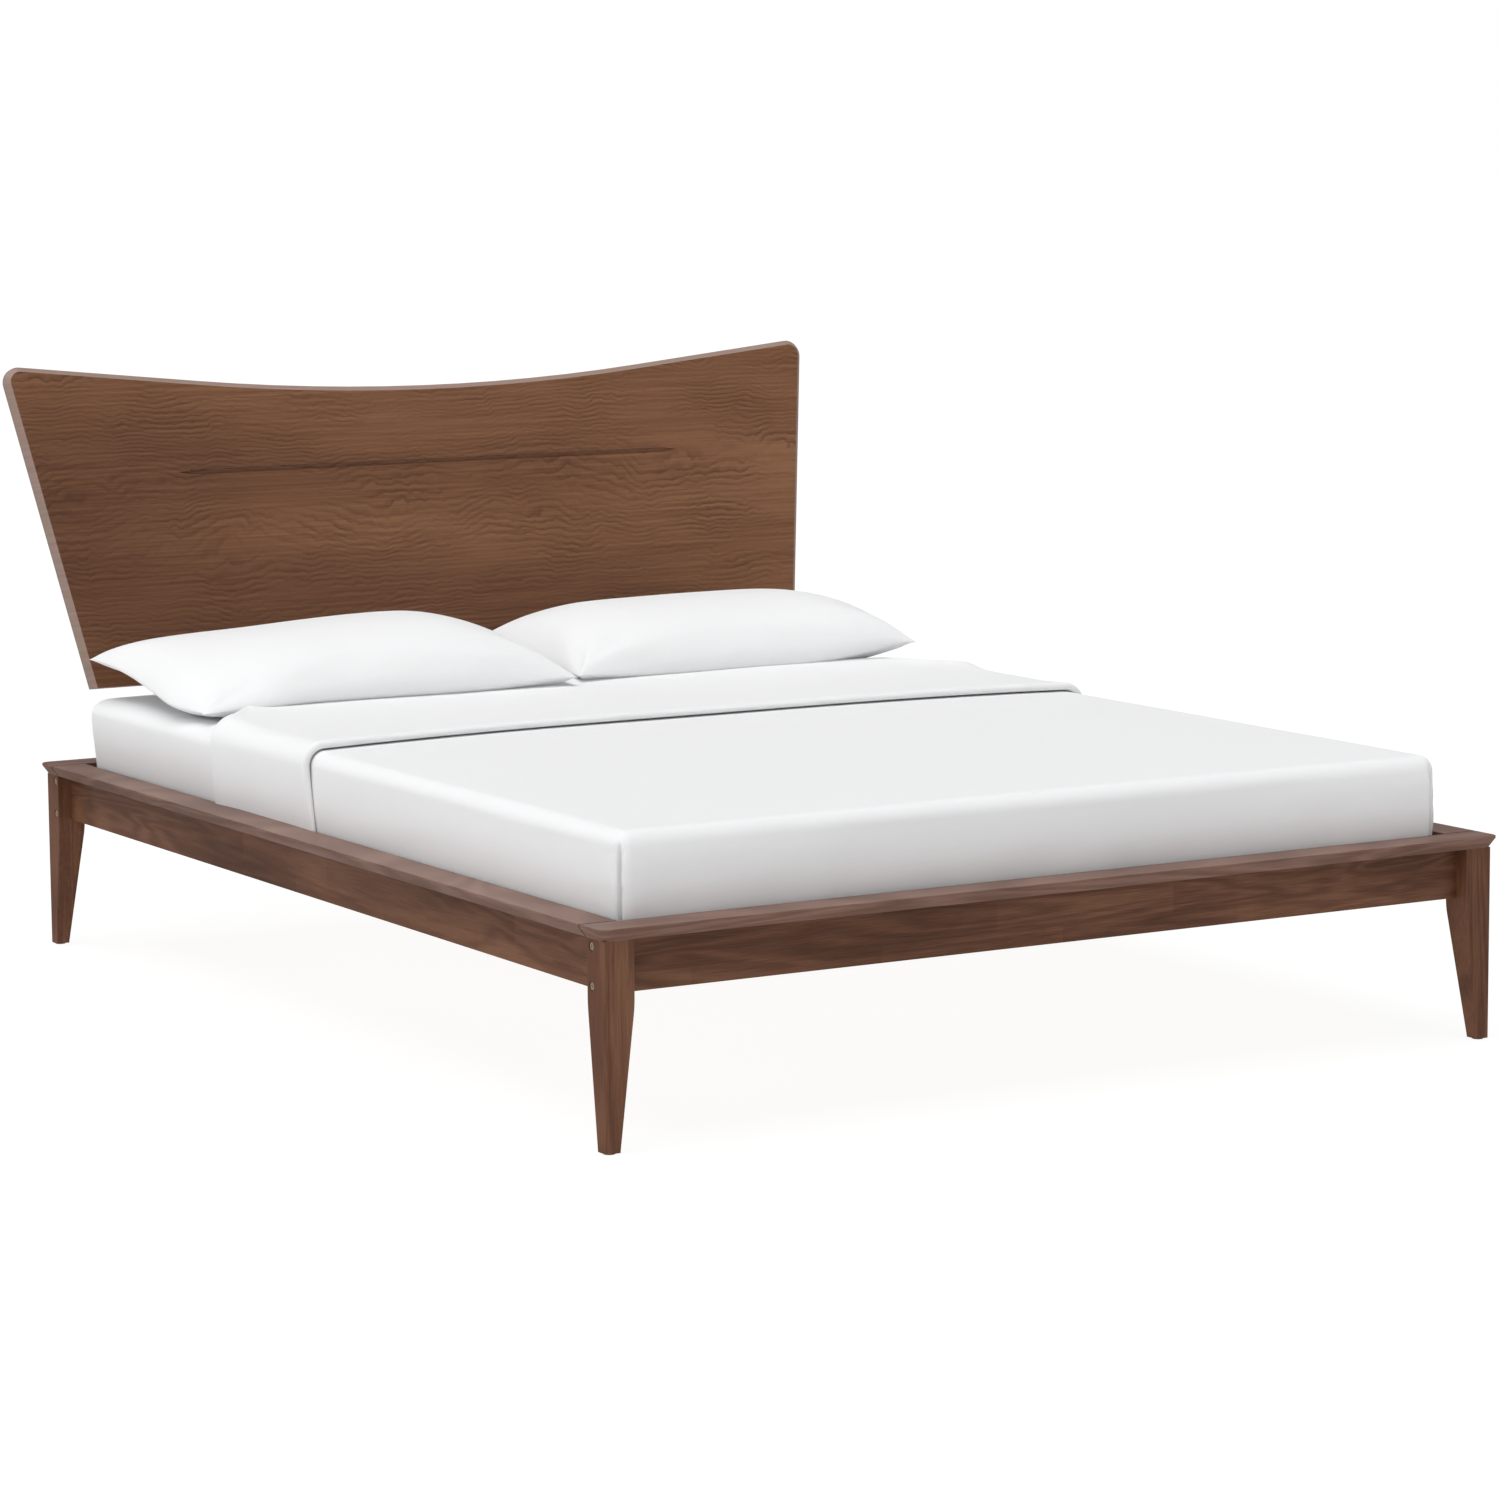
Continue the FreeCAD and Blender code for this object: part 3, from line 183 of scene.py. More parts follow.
def oak_veneer(name):
    """Walnut-stained oak: wavy fine figure lying along X, dark pores, edge faces painted pale as a highlight,
    and groove walls painted dark as shade.
    """
    s = Shader(name)
    _, x, y, z = object_space(s)
    up = s.math("ADD", s.math("MULTIPLY", z, PANEL_UP.z), s.math("MULTIPLY", y, PANEL_UP.y))
    swell = s.noise(s.vector(s.math("MULTIPLY", x, 1.6), s.math("MULTIPLY", up, 5.0), 3.7), 1.0, detail=1.0)
    wave = s.noise(s.vector(s.math("MULTIPLY", x, 10.0), s.math("MULTIPLY", up, 9.0), 8.2), 1.0, detail=3.0,
                   roughness=0.55, distortion=0.3)
    field = s.math("MULTIPLY_ADD", up, 86.0, s.math("MULTIPLY", swell, 15.0))
    rings = s.math("FRACT", s.math("MULTIPLY_ADD", wave, 5.0, field))
    early = s.ramp(rings, (0.0, (1, 1, 1)), (0.30, (0.45, 0.45, 0.45)), (0.62, (0.0, 0.0, 0.0)),
                   (0.90, (0.10, 0.10, 0.10)), (1.0, (1, 1, 1)))
    patch = s.noise(s.vector(s.math("MULTIPLY", x, 4.5), s.math("MULTIPLY", up, 13.0), 2.9), 1.0, detail=2.0)
    figure = s.math("MULTIPLY", early, s.ramp(patch, (0.36, (0.12, 0.12, 0.12)), (0.62, (1, 1, 1))))
    pore_place = s.vector(s.math("MULTIPLY", x, 42.0), s.math("MULTIPLY", up, 1100.0), 1.0)
    pores = s.noise(pore_place, 1.0, detail=2.0, roughness=0.7)
    pores = s.ramp(pores, (0.50, (0, 0, 0)), (0.68, (1, 1, 1)))
    pores = s.math("MULTIPLY", pores, s.math("MULTIPLY_ADD", figure, 0.75, 0.25))
    streak_place = s.vector(s.math("MULTIPLY", x, 3.0), s.math("MULTIPLY", up, 190.0), 5.0)
    streak = s.noise(streak_place, 1.0, detail=3.0)
    leaf = s.noise(s.vector(s.math("MULTIPLY", x, 0.9), s.math("MULTIPLY", up, 5.0), 0.4), 1.0, detail=1.0)
    tone = s.math("ADD", s.math("MULTIPLY", streak, 0.50), s.math("MULTIPLY", leaf, 0.50))
    # Painted light: the veneer grows steadily lighter towards +X, the headboard's right, standing in for
    # brighter light falling there.
    tone = s.math("ADD", tone, s.math("MULTIPLY", x, 0.085))
    base = s.ramp(tone, (0.32, (0.125, 0.050, 0.023)), (0.52, (0.192, 0.084, 0.040)),
                  (0.72, (0.270, 0.128, 0.063)))
    shaded = s.mix(s.math("MULTIPLY", figure, 0.55), base, (0.062, 0.023, 0.011))
    colour = s.mix(s.math("MULTIPLY", pores, 0.55), shaded, (0.028, 0.011, 0.006))
    facing = s.node("ShaderNodeVectorMath", operation="DOT_PRODUCT")
    s.plug(facing.inputs[0], s.node("ShaderNodeNewGeometry").outputs["Normal"])
    facing.inputs[1].default_value = PANEL_FRONT
    turned = s.math("ABSOLUTE", facing.outputs["Value"])
    beside = s.math("ABSOLUTE", s.math("SUBTRACT", up, groove_height()))
    inside = s.math("MULTIPLY", s.math("LESS_THAN", beside, 0.0078),
                    s.math("LESS_THAN", s.math("ABSOLUTE", x), GROOVE_HALF))
    groove = s.math("MULTIPLY", inside, s.math("LESS_THAN", turned, 0.985))
    # Painted highlight: faces turned away from the panel's front, its edges and bevel, are coloured pale as
    # if catching light from above.
    edge = s.math("MULTIPLY", s.math("LESS_THAN", turned, 0.93), s.math("SUBTRACT", 1.0, inside))
    painted_edge_highlight = s.mix(streak, (0.275, 0.190, 0.158), (0.375, 0.280, 0.240))
    colour = s.mix(s.math("MULTIPLY", edge, 0.85), colour, painted_edge_highlight)
    # Painted shade: the walls of the groove are coloured near-black, as shade inside the recess.
    colour = s.mix(s.math("MULTIPLY", groove, 0.80), colour, (0.022, 0.009, 0.006))
    height = s.math("SUBTRACT", s.math("MULTIPLY", streak, 0.25), pores)
    gloss = s.math("MULTIPLY_ADD", pores, 0.20, 0.44)
    return s.finish(Base_Color=colour, Roughness=gloss, Normal=s.bump(height, 0.00025, 0.8),
                    Specular_IOR_Level=0.20, Coat_Weight=0.04, Coat_Roughness=0.35)


def raw_pine(name, grain):
    """Planed pale pine for the slats and what carries them."""
    return solid_wood(name, grain, dark=(0.36, 0.20, 0.085), mid=(0.60, 0.40, 0.20), light=(0.78, 0.58, 0.34),
                      roughness=0.6, coat=0.0)


def metal(name, colour, roughness, scratch=0.08, metallic=1.0):
    s = Shader(name)
    place = object_space(s)[0]
    grime = s.noise(place, 60.0, detail=4.0)
    fine = s.noise(place, 900.0, detail=1.0)
    tint = s.mix(s.math("MULTIPLY", grime, 0.35), colour, tuple(c * 0.55 for c in colour))
    gloss = s.math("MULTIPLY_ADD", grime, scratch * 2, roughness - scratch)
    return s.finish(Base_Color=tint, Metallic=metallic, Roughness=gloss, Normal=s.bump(fine, 0.0001, 0.25))


def nylon(name):
    s = Shader(name)
    place = object_space(s)[0]
    grain = s.noise(place, 1400.0, detail=2.0)
    tint = s.mix(grain, (0.030, 0.028, 0.026), (0.060, 0.056, 0.052))
    return s.finish(Base_Color=tint, Roughness=s.math("MULTIPLY_ADD", grain, 0.2, 0.42),
                    Normal=s.bump(grain, 0.0001, 0.5))


def woven(name, colour, shade, thread=0.00045, depth=0.00010, roughness=0.82, sheen=0.25):
    """Plain-woven cloth: two sets of threads that follow the piece, whichever way it faces."""
    s = Shader(name)
    place, x, y, z = object_space(s)
    turn = 2 * math.pi / thread
    warp = s.math("SINE", s.math("MULTIPLY", s.math("ADD", x, z), turn))
    weft = s.math("SINE", s.math("MULTIPLY", s.math("SUBTRACT", y, z), turn))
    weave = s.math("MULTIPLY_ADD", s.math("MULTIPLY", warp, weft), 0.5, 0.5)
    slub_place = s.vector(s.math("MULTIPLY", x, 25.0), s.math("MULTIPLY", y, 420.0),
                          s.math("MULTIPLY", z, 420.0))
    slub = s.noise(slub_place, 1.0, detail=2.0)
    soft = s.noise(place, 3.5, detail=3.0)
    tint = s.mix(s.math("MULTIPLY_ADD", weave, 0.20, s.math("MULTIPLY", slub, 0.22)), colour, shade)
    tint = s.mix(s.math("MULTIPLY", soft, 0.25), tint, tuple(c * 0.965 for c in colour))
    height = s.math("ADD", weave, s.math("MULTIPLY", slub, 0.5))
    return s.finish(Base_Color=tint, Roughness=roughness, Normal=s.bump(height, depth, 0.6),
                    Sheen_Weight=sheen, Sheen_Roughness=0.45)


WHITE = (0.86, 0.865, 0.87)
WHITE_SHADE = (0.70, 0.705, 0.715)

VENEER = oak_veneer("walnut_stained_oak")
GRAIN_X = solid_wood("stained_wood_across", "X", stave=0.047)
GRAIN_Y = solid_wood("stained_wood_lengthwise", "Y", stave=0.047)
GRAIN_Z = solid_wood("stained_wood_upright", "Z")
CAP_X = solid_wood("cap_wood_across", "X", *CAP_TONES)
CAP_Y = solid_wood("cap_wood_lengthwise", "Y", *CAP_TONES)
PINE_X = raw_pine("pine_across", "X")
PINE_Y = raw_pine("pine_lengthwise", "Y")
PINE_Z = raw_pine("pine_upright", "Z")
BRONZED = metal("bronzed_bolt", (0.82, 0.70, 0.55), 0.50)
ZINC = metal("zinc_screw", (0.62, 0.60, 0.56), 0.34)
BLACK_COAT = metal("black_powder_coat", (0.028, 0.028, 0.030), 0.55, metallic=0.0)
NYLON = nylon("black_nylon")

COTTON = woven("white_percale", WHITE, WHITE_SHADE)
PILLOW_COTTON = woven("white_percale_pillowcase", WHITE, WHITE_SHADE, thread=0.00042)
TICKING = woven("mattress_ticking_knit", (0.80, 0.79, 0.76), (0.66, 0.65, 0.62), thread=0.0030, depth=0.0006)


def dress(material, *names):
    for name in names:
        data = nodes[name].data
        data.materials.clear()
        data.materials.append(material)


SLATS = [name for name in nodes if name.startswith("slat_") and name != "slat_screws"]
dress(VENEER, "headboard_panel")
dress(GRAIN_X, "foot_rail", "head_rail")
dress(GRAIN_Y, "side_rail_left", "side_rail_right")
dress(CAP_X, "foot_cap", "head_cap")
dress(CAP_Y, "side_cap_left", "side_cap_right")
dress(GRAIN_Z, "leg_foot_left", "leg_foot_right", "leg_head_left", "leg_head_right",
      "headboard_strut_left", "headboard_strut_right")
dress(PINE_X, *SLATS)
dress(PINE_Y, "side_ledger_left", "side_ledger_right", "centre_beam")
dress(PINE_Z, "centre_leg", "cap_dowels")
dress(BRONZED, "leg_bolts", "strut_rail_bolts")
dress(ZINC, "barrel_nuts", "strut_rail_nuts", "strut_panel_screws", "bracket_screws", "ledger_screws",
      "slat_screws", "hanger_screws", "centre_leg_bolt", "leveller_insert")
dress(BLACK_COAT, *[name for name in nodes if name.startswith(("corner_bracket", "beam_hanger"))])
dress(NYLON, "leg_glides", "levelling_foot")

# ---------------------------------------------------------------- light, floor and camera


def sun_light(name, source, strength, spread):
    """Even, soft light from one side of the studio; spread is its angular width in degrees."""
    data = bpy.data.lights.new(name, "SUN")
    data.energy = strength
    data.angle = math.radians(spread)
    lamp = bpy.data.objects.new(name, data)
    lamp.rotation_euler = (-Vector(source)).to_track_quat("-Z", "Y").to_euler()
    bpy.context.scene.collection.objects.link(lamp)


def make_floor():
    """A floor as white as the backdrop, with only a faint shadow under the bed."""
    material = Shader("pale_floor")
    place = object_space(material)[0]
    glow = material.mix(material.noise(place, 1.5, detail=3.0), (0.90, 0.90, 0.90), (0.915, 0.915, 0.915))
    material.finish(Base_Color=(0.12, 0.12, 0.12, 1), Roughness=0.95, Specular_IOR_Level=0.0,
                    Emission_Color=glow, Emission_Strength=1.0)
    mesh = bpy.data.meshes.new("floor")
    reach = 55.0
    corners = [(-reach, -reach, 0), (reach, -reach, 0), (reach, reach, 0), (-reach, reach, 0)]
    mesh.from_pydata(corners, [], [(0, 1, 2, 3)])
    floor = bpy.data.objects.new("floor", mesh)
    floor.data.materials.append(material.material)
    floor.visible_glossy = False
    bpy.context.scene.collection.objects.link(floor)


def make_backdrop():
    """A white dome that only the camera sees."""
    material = bpy.data.materials.new("white_backdrop")
    material.use_nodes = True
    tree = material.node_tree
    tree.nodes.clear()
    glow = tree.nodes.new("ShaderNodeEmission")
    glow.inputs["Color"].default_value = (1, 1, 1, 1)
    tree.links.new(glow.outputs[0], tree.nodes.new("ShaderNodeOutputMaterial").inputs["Surface"])
    mesh = bpy.data.meshes.new("backdrop")
    shape = bmesh.new()
    bmesh.ops.create_icosphere(shape, subdivisions=4, radius=60.0)
    shape.to_mesh(mesh)
    shape.free()
    mesh.materials.append(material)
    dome = bpy.data.objects.new("backdrop", mesh)
    dome.visible_diffuse = False
    dome.visible_glossy = False
    dome.visible_shadow = False
    bpy.context.scene.collection.objects.link(dome)


def make_camera():
    """A long lens from the foot's left, a little above the bedding."""
    azimuth, down, roll = math.radians(-30.388), math.radians(7.655), math.radians(-0.418)
    look = Vector((-math.sin(azimuth) * math.cos(down), math.cos(azimuth) * math.cos(down), -math.sin(down)))
    level = look.cross(Vector((0, 0, 1))).normalized()
    upright = level.cross(look)
    right = level * math.cos(roll) + upright * math.sin(roll)
    up = -level * math.sin(roll) + upright * math.cos(roll)
    data = bpy.data.cameras.new("camera")
    data.lens = 112.85
    data.sensor_width = 36
    data.clip_end = 100
    camera = bpy.data.objects.new("camera", data)
    turn = Matrix((right, up, -look)).transposed().to_4x4()
    camera.matrix_world = Matrix.Translation((-4.1521, -7.2175, 1.5430)) @ turn
    bpy.context.scene.collection.objects.link(camera)
    bpy.context.scene.camera = camera


def make_world():
    world = bpy.data.worlds.new("studio")
    world.use_nodes = True
    background = world.node_tree.nodes["Background"]
    background.inputs["Color"].default_value = (1.0, 1.0, 1.0, 1.0)
    background.inputs["Strength"].default_value = 0.30
    bpy.context.scene.world = world


bpy.context.scene.view_settings.view_transform = "Standard"
make_world()
make_floor()
make_backdrop()
make_camera()
sun_light("overhead_light", (-0.25, 0.0, 1.0), 2.44, 55)
sun_light("side_fill", (-1.0, -0.2, 0.20), 0.54, 40)
sun_light("foot_fill", (0.2, -1.0, 0.25), 0.36, 40)

# ---------------------------------------------------------------- meshes for the bedding


def smoothstep(low, high, value):
    share = np.clip((value - low) / (high - low), 0.0, 1.0)
    return share * share * (3 - 2 * share)


def ripple(points, pitch, seed):
    """Soft noise from -1 to 1 at each point; pitch is the size of its waves along x, y and z."""
    scaled = points / np.array(pitch) + seed
    return np.array([noise.noise(Vector(p)) for p in scaled])


def make_piece(name, points, faces, material, body, thickness=0.0, levels=1):
    """A smooth piece that rides on a body; thickness turns a skin into a closed cloth of that thickness."""
    mesh = bpy.data.meshes.new(name)
    mesh.from_pydata([tuple(p) for p in points], [], faces)
    mesh.materials.append(material)
    mesh.polygons.foreach_set("use_smooth", [True] * len(mesh.polygons))
    piece = bpy.data.objects.new(name, mesh)
    bpy.context.scene.collection.objects.link(piece)
    if thickness:
        shell = piece.modifiers.new("cloth_thickness", "SOLIDIFY")
        shell.thickness = thickness
        shell.offset = -1.0
    if levels:
        finer = piece.modifiers.new("finer", "SUBSURF")
        finer.levels = finer.render_levels = levels
    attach(piece, body)
    return piece


def spaced(low, high, pitch, rim=0.06, fine=0.008):
    """Places from low to high, closer together within rim of either end."""
    near = np.arange(0, rim, fine)
    middle = np.linspace(low + rim, high - rim, max(2, round((high - low - 2 * rim) / pitch) + 1))
    return np.concatenate([low + near, middle, (high - near)[::-1]])


def block_skin(xs, ys, zs, walls):
    """Corner points and faces of a block's lattice, on the walls asked for."""
    index, faces = {}, []

    def at(i, j, k):
        return index.setdefault((i, j, k), len(index))

    ends = {"x": len(xs) - 1, "y": len(ys) - 1, "z": len(zs) - 1}
    cells = {axis: range(end) for axis, end in ends.items()}
    for wall in walls:
        if wall in ("bottom", "top"):
            k = ends["z"] if wall == "top" else 0
            made = [[at(i, j, k), at(i + 1, j, k), at(i + 1, j + 1, k), at(i, j + 1, k)]
                    for i in cells["x"] for j in cells["y"]]
        elif wall in ("left", "right"):
            i = ends["x"] if wall == "right" else 0
            made = [[at(i, j, k), at(i, j + 1, k), at(i, j + 1, k + 1), at(i, j, k + 1)]
                    for j in cells["y"] for k in cells["z"]]
        else:
            j = ends["y"] if wall == "head" else 0
            made = [[at(i + 1, j, k), at(i, j, k), at(i, j, k + 1), at(i + 1, j, k + 1)]
                    for i in cells["x"] for k in cells["z"]]
        faces += made if wall in ("top", "right", "head") else [face[::-1] for face in made]
    return np.array([(xs[i], ys[j], zs[k]) for i, j, k in index]), faces


def rounded(points, low, high, radius):
    """The points of a block with its edges rounded, and the way that each of them faces."""
    core = np.clip(points, np.array(low) + radius, np.array(high) - radius)
    away = points - core
    away /= np.linalg.norm(away, axis=1)[:, None]
    return core + away * radius, away


# ---------------------------------------------------------------- mattress and fitted sheet

EDGE_RADIUS = 0.030
CROWN = 0.008                   # how much higher the bedding is in the middle than at its edges


def crown(x, y):
    """The soft rise of the bedding towards its middle."""
    middle = (MATTRESS_LOW.y + MATTRESS_HIGH.y) / 2
    across = np.clip(np.abs(x) / MATTRESS_HIGH.x, 0, 1)
    along = np.clip(np.abs(y - middle) / (MATTRESS_HIGH.y - middle), 0, 1)
    return CROWN * (1 - across ** 3) * (1 - along ** 4)


def crowned(points):
    """Points on the top of the bedding, raised by its crown; the sides stay."""
    raised = points.copy()
    share = smoothstep(MATTRESS_HIGH.z - 0.06, MATTRESS_HIGH.z, points[:, 2])
    raised[:, 2] += crown(points[:, 0], points[:, 1]) * share
    return raised


def tape_edge(name, z, inset):
    """The piping that closes a mattress border, as a tube round its rim."""
    low, high = MATTRESS_LOW, MATTRESS_HIGH
    curve = bpy.data.curves.new(name, "CURVE")
    curve.dimensions = "3D"
    curve.bevel_depth = 0.0035
    curve.bevel_resolution = 3
    line = curve.splines.new("POLY")
    corner = EDGE_RADIUS
    places = []
    for x, y, start in ((high.x, high.y, 0), (low.x, high.y, 90), (low.x, low.y, 180), (high.x, low.y, 270)):
        centre = Vector((x - math.copysign(corner, x), y - math.copysign(corner, y - low.y - 1), z))
        for turn in range(start, start + 91, 10):
            way = Vector((math.cos(math.radians(turn)), math.sin(math.radians(turn)), 0))
            places.append(centre + way * (corner - inset))
    line.points.add(len(places) - 1)
    for point, place in zip(line.points, places):
        point.co = (*place, 1.0)
    line.use_cyclic_u = True
    curve.materials.append(TICKING)
    piping = bpy.data.objects.new(name, curve)
    bpy.context.scene.collection.objects.link(piping)
    return piping


def make_mattress():
    """A mattress with a taped edge and a lightly quilted face, a little inside its space."""
    slack = 0.003
    low, high = np.array(MATTRESS_LOW) + slack, np.array(MATTRESS_HIGH) - slack
    grid = block_skin(spaced(low[0], high[0], 0.03), spaced(low[1], high[1], 0.03),
                      spaced(low[2], high[2], 0.03, rim=0.04),
                      ("bottom", "top", "left", "right", "foot", "head"))
    points, away = rounded(grid[0], low, high, EDGE_RADIUS)
    quilt = np.abs(np.sin(points[:, 0] * math.pi / 0.12)) * np.abs(np.sin(points[:, 1] * math.pi / 0.12))
    flat = np.abs(away[:, 2]) > 0.99
    points -= away * (0.003 * (1 - np.sqrt(quilt)) * flat)[:, None]
    mattress = make_piece("mattress_pad", crowned(points), grid[1], TICKING, "mattress")
    for name, z, inset in (("mattress_tape_lower", low[2] + 0.010, 0.0105),
                           ("mattress_tape_upper", high[2] - 0.010, 0.0105)):
        tape = tape_edge(name, z, inset)
        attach(tape, "mattress")
    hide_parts("mattress")


def make_fitted_sheet():
    """A sheet pulled over the mattress, its elastic hem gathered under the corners."""
    low, high = np.array(SHEET_LOW), np.array(SHEET_HIGH)
    low[2] = MATTRESS_LOW.z - 0.0002
    grid = block_skin(spaced(low[0], high[0], 0.022), spaced(low[1], high[1], 0.022),
                      spaced(low[2], high[2], 0.012, rim=0.036, fine=0.006),
                      ("top", "left", "right", "foot", "head"))
    points, away = rounded(grid[0], low, high, EDGE_RADIUS)
    side = 1 - np.abs(away[:, 2])
    along = np.abs(points[:, 1] - (low[1] + high[1]) / 2) / ((high[1] - low[1]) / 2)
    near_corner = smoothstep(0.80, 1.0, np.minimum(np.abs(points[:, 0]) / high[0], along))
    low_down = smoothstep(high[2], low[2], points[:, 2])
    soft = ripple(points, (0.30, 0.34, 0.22), 3.1)
    gather = ripple(points, (0.016, 0.016, 0.30), 7.7) * near_corner * low_down * side
    points -= away * (0.0006 * (1 + soft) + 0.0010 * (1 + gather) * near_corner)[:, None]
    bare = smoothstep(BAND_HIGH.y - 0.10, BAND_HIGH.y + 0.02, points[:, 1])
    bulge = 0.005 * bare * smoothstep(low[2] + 0.030, low[2] + 0.055, points[:, 2])
    bulge += 0.008 * smoothstep(low[2] + 0.05, high[2] - 0.04, points[:, 2]) * (0.4 + 0.6 * bare)
    points[:, :2] += away[:, :2] * bulge[:, None]
    sheet = make_piece("fitted_sheet_cloth", crowned(points), grid[1], COTTON, "mattress",
                       thickness=0.0008)
    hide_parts("fitted_sheet")
    return sheet


# ---------------------------------------------------------------- coverlet with hospital corners

FLAP_INSETS = {-1: 0.010, 1: 0.021}      # from each side to the folded edge of the foot's flap


def foot_flap(points, away, half, top):
    """How far the tucked flap on the foot stands out, with the crease beside each folded edge."""
    on_foot = smoothstep(0.15, 0.6, -away[:, 1]) * (away[:, 2] < 0.75)
    fade = smoothstep(top - 0.010, top - 0.050, points[:, 2])
    offset = np.zeros(len(points))
    for side, inset in FLAP_INSETS.items():
        edge = half - inset + 0.0022 * ripple(points * (0, 0, 1), (1, 1, 0.05), 2.0 + side)
        along = side * points[:, 0] - edge
        layer = smoothstep(0.0016, -0.0016, along)
        crease = np.exp(-((along - 0.0028) / 0.0026) ** 2)
        near = smoothstep(-0.5, -0.1, along)
        offset += near * (0.0042 * layer - 0.0110 * crease) * fade
    return offset * on_foot


def make_coverlet():
    """A smooth coverlet, tucked in at the foot and sides, that runs on under the turned-back band."""
    low, high = np.array(COVER_LOW), np.array(COVER_HIGH)
    open_end = np.array((0, 0.2, 0))
    xs = spaced(low[0], high[0], 0.020, rim=0.042, fine=0.0021)
    ys = np.concatenate([low[1] + np.arange(0, 0.042, 0.0035),
                         np.linspace(low[1] + 0.042, high[1] - 0.01, 76)])
    zs = np.concatenate([np.linspace(low[2] + 0.008, high[2] - 0.040, 16),
                         high[2] - np.arange(0.034, -0.001, -0.00425)])
    points, faces = block_skin(xs, ys, zs, ("top", "left", "right", "foot"))
    points, away = rounded(points, low - np.array((0, 0, 0.2)), high + open_end, 0.026)
    side = 1 - np.abs(away[:, 2])
    drop = smoothstep(high[2], low[2], points[:, 2])
    broad = ripple(points, (0.42, 0.36, 0.25), 11.3)
    folds = ripple(points, (0.085, 0.12, 0.9), 21.7) * drop * side
    ease = ripple(points, (0.16, 0.20, 0.05), 31.1) * side
    corner = smoothstep(0.20, 0.0, high[0] - np.abs(points[:, 0]))
    corner = corner * smoothstep(0.22, 0.0, points[:, 1] - low[1])
    slanted = points @ np.array(((1, 0, 0), (0, 1, 0), (0.9, 0.9, 1)))
    pull = ripple(slanted, (0.020, 0.020, 0.4), 5.5) * corner * side
    offset = -0.0012 + 0.0014 * broad * (1 - side) + 0.0016 * broad * side + 0.0022 * folds + 0.0009 * ease
    offset += 0.0013 * pull + 0.0030 * np.sin(math.pi * drop) * side
    offset += foot_flap(points, away, high[0], high[2])
    points += away * offset[:, None]
    cover = make_piece("coverlet_cloth", crowned(points), faces, COTTON, "mattress",
                       thickness=0.0028)
    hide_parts("coverlet")


# ---------------------------------------------------------------- turned-back band

HEM_NOSE, FOLD_NOSE = 0.013, 0.024
BAND_POINTS, BAND_UNDER_POINTS = 58, 26      # round one section of the band: above, below
BAND_RISE = {"middle": 0.0085, "hem": 0.0060, "fold": 0.0155}


def nose(distance, radius):
    """From 0 at the very edge to 1 a radius in, as a round edge rises."""
    return np.sqrt(np.clip(1 - (1 - np.clip(distance / radius, 0, 1)) ** 2, 0, 1))


def tube_faces(rings, size):
    """The faces of a closed tube made of rings of size points each, with a flat face over each end."""
    faces = []
    for station in range(rings - 1):
        here, there = station * size, (station + 1) * size
        for n in range(size):
            m = (n + 1) % size
            faces.append((here + n, there + n, there + m, here + m))
    faces.append(tuple(range(size)))
    faces.append(tuple(range((rings - 1) * size, rings * size))[::-1])
    return [face[::-1] for face in faces]


def make_band():
    """The coverlet's end, turned back over it: a soft thick band with a rolled hem and fold."""
    low, high = np.array(BAND_LOW), np.array(BAND_HIGH)
    base_half, base_top = COVER_HIGH.x + 0.0006, COVER_HIGH.z + 0.0006
    floor = COVER_LOW.z + 0.012
    walls = np.concatenate([np.linspace(floor, base_top - 0.04, 20),
                            base_top - np.arange(0.036, -0.001, -0.004)])
    across = spaced(-base_half, base_half, 0.016, rim=0.04, fine=0.004)
    left = [(-base_half, z) for z in walls[:-1]]
    right = [(base_half, z) for z in walls[-2::-1]]
    path = np.array([(x, 0.0, z) for x, z in left + [(x, base_top) for x in across] + right])
    path, away = rounded(path, (-base_half, -1, 0), (base_half, 1, base_top), 0.027)
    sag = smoothstep(base_top, floor, path[:, 2])
    ends = 1 - smoothstep(0.0, 0.140, base_half - np.abs(path[:, 0]))
    hem = low[1] + 0.004 * ripple(path, (0.45, 1, 0.2), 1.3)
    hem = hem - 0.008 * path[:, 0] / base_half * (1 - sag) - 0.016 * sag
    fold = high[1] + 0.066 - 0.014 * path[:, 0] / base_half - 0.125 * ends
    fold = fold + 0.004 * ripple(path, (0.3, 1, 0.1), 9.0)
    count, under = BAND_POINTS, BAND_UNDER_POINTS
    ease = (1 - np.cos(np.linspace(0, math.pi, count))) / 2
    spread = 0.6 * ease + 0.4 * np.linspace(0, 1, count)
    rings = []
    for station in range(len(path)):
        length = fold[station] - hem[station]
        distance = spread * length
        plump = 1 - 0.55 * sag[station]
        rise = BAND_RISE["middle"] + BAND_RISE["hem"] * np.exp(-distance / 0.050)
        rise += BAND_RISE["fold"] * np.exp(-(length - distance) / 0.060)
        edge = nose(distance, HEM_NOSE) * nose(length - distance, FOLD_NOSE)
        places = path[station] + np.outer(distance + hem[station], (0, 1, 0))
        wave = ripple(places, (0.16, 0.11, 0.12), 14.2)
        broad = ripple(places, (0.5, 0.22, 0.4), 24.6)
        upper = 0.0022 * plump + (rise * plump + 0.0016 * wave + 0.0022 * broad) * edge
        back = np.linspace(1, 0, under + 2)[1:-1]
        below = hem[station] + back * length
        lower = 0.0006 + 0.0016 * (1 - nose(back * length, HEM_NOSE))
        lower = lower + 0.0016 * (1 - nose((1 - back) * length, FOLD_NOSE))
        top_side = places + upper[:, None] * away[station]
        low_side = path[station] + np.outer(below, (0, 1, 0)) + lower[:, None] * away[station]
        rings.append(np.concatenate([top_side, low_side]))
    faces = tube_faces(len(rings), count + under)
    band = make_piece("turned_back_band_cloth", crowned(np.concatenate(rings)), faces, COTTON,
                      "mattress")
    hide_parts("turned_back_band")


# ---------------------------------------------------------------- pillows

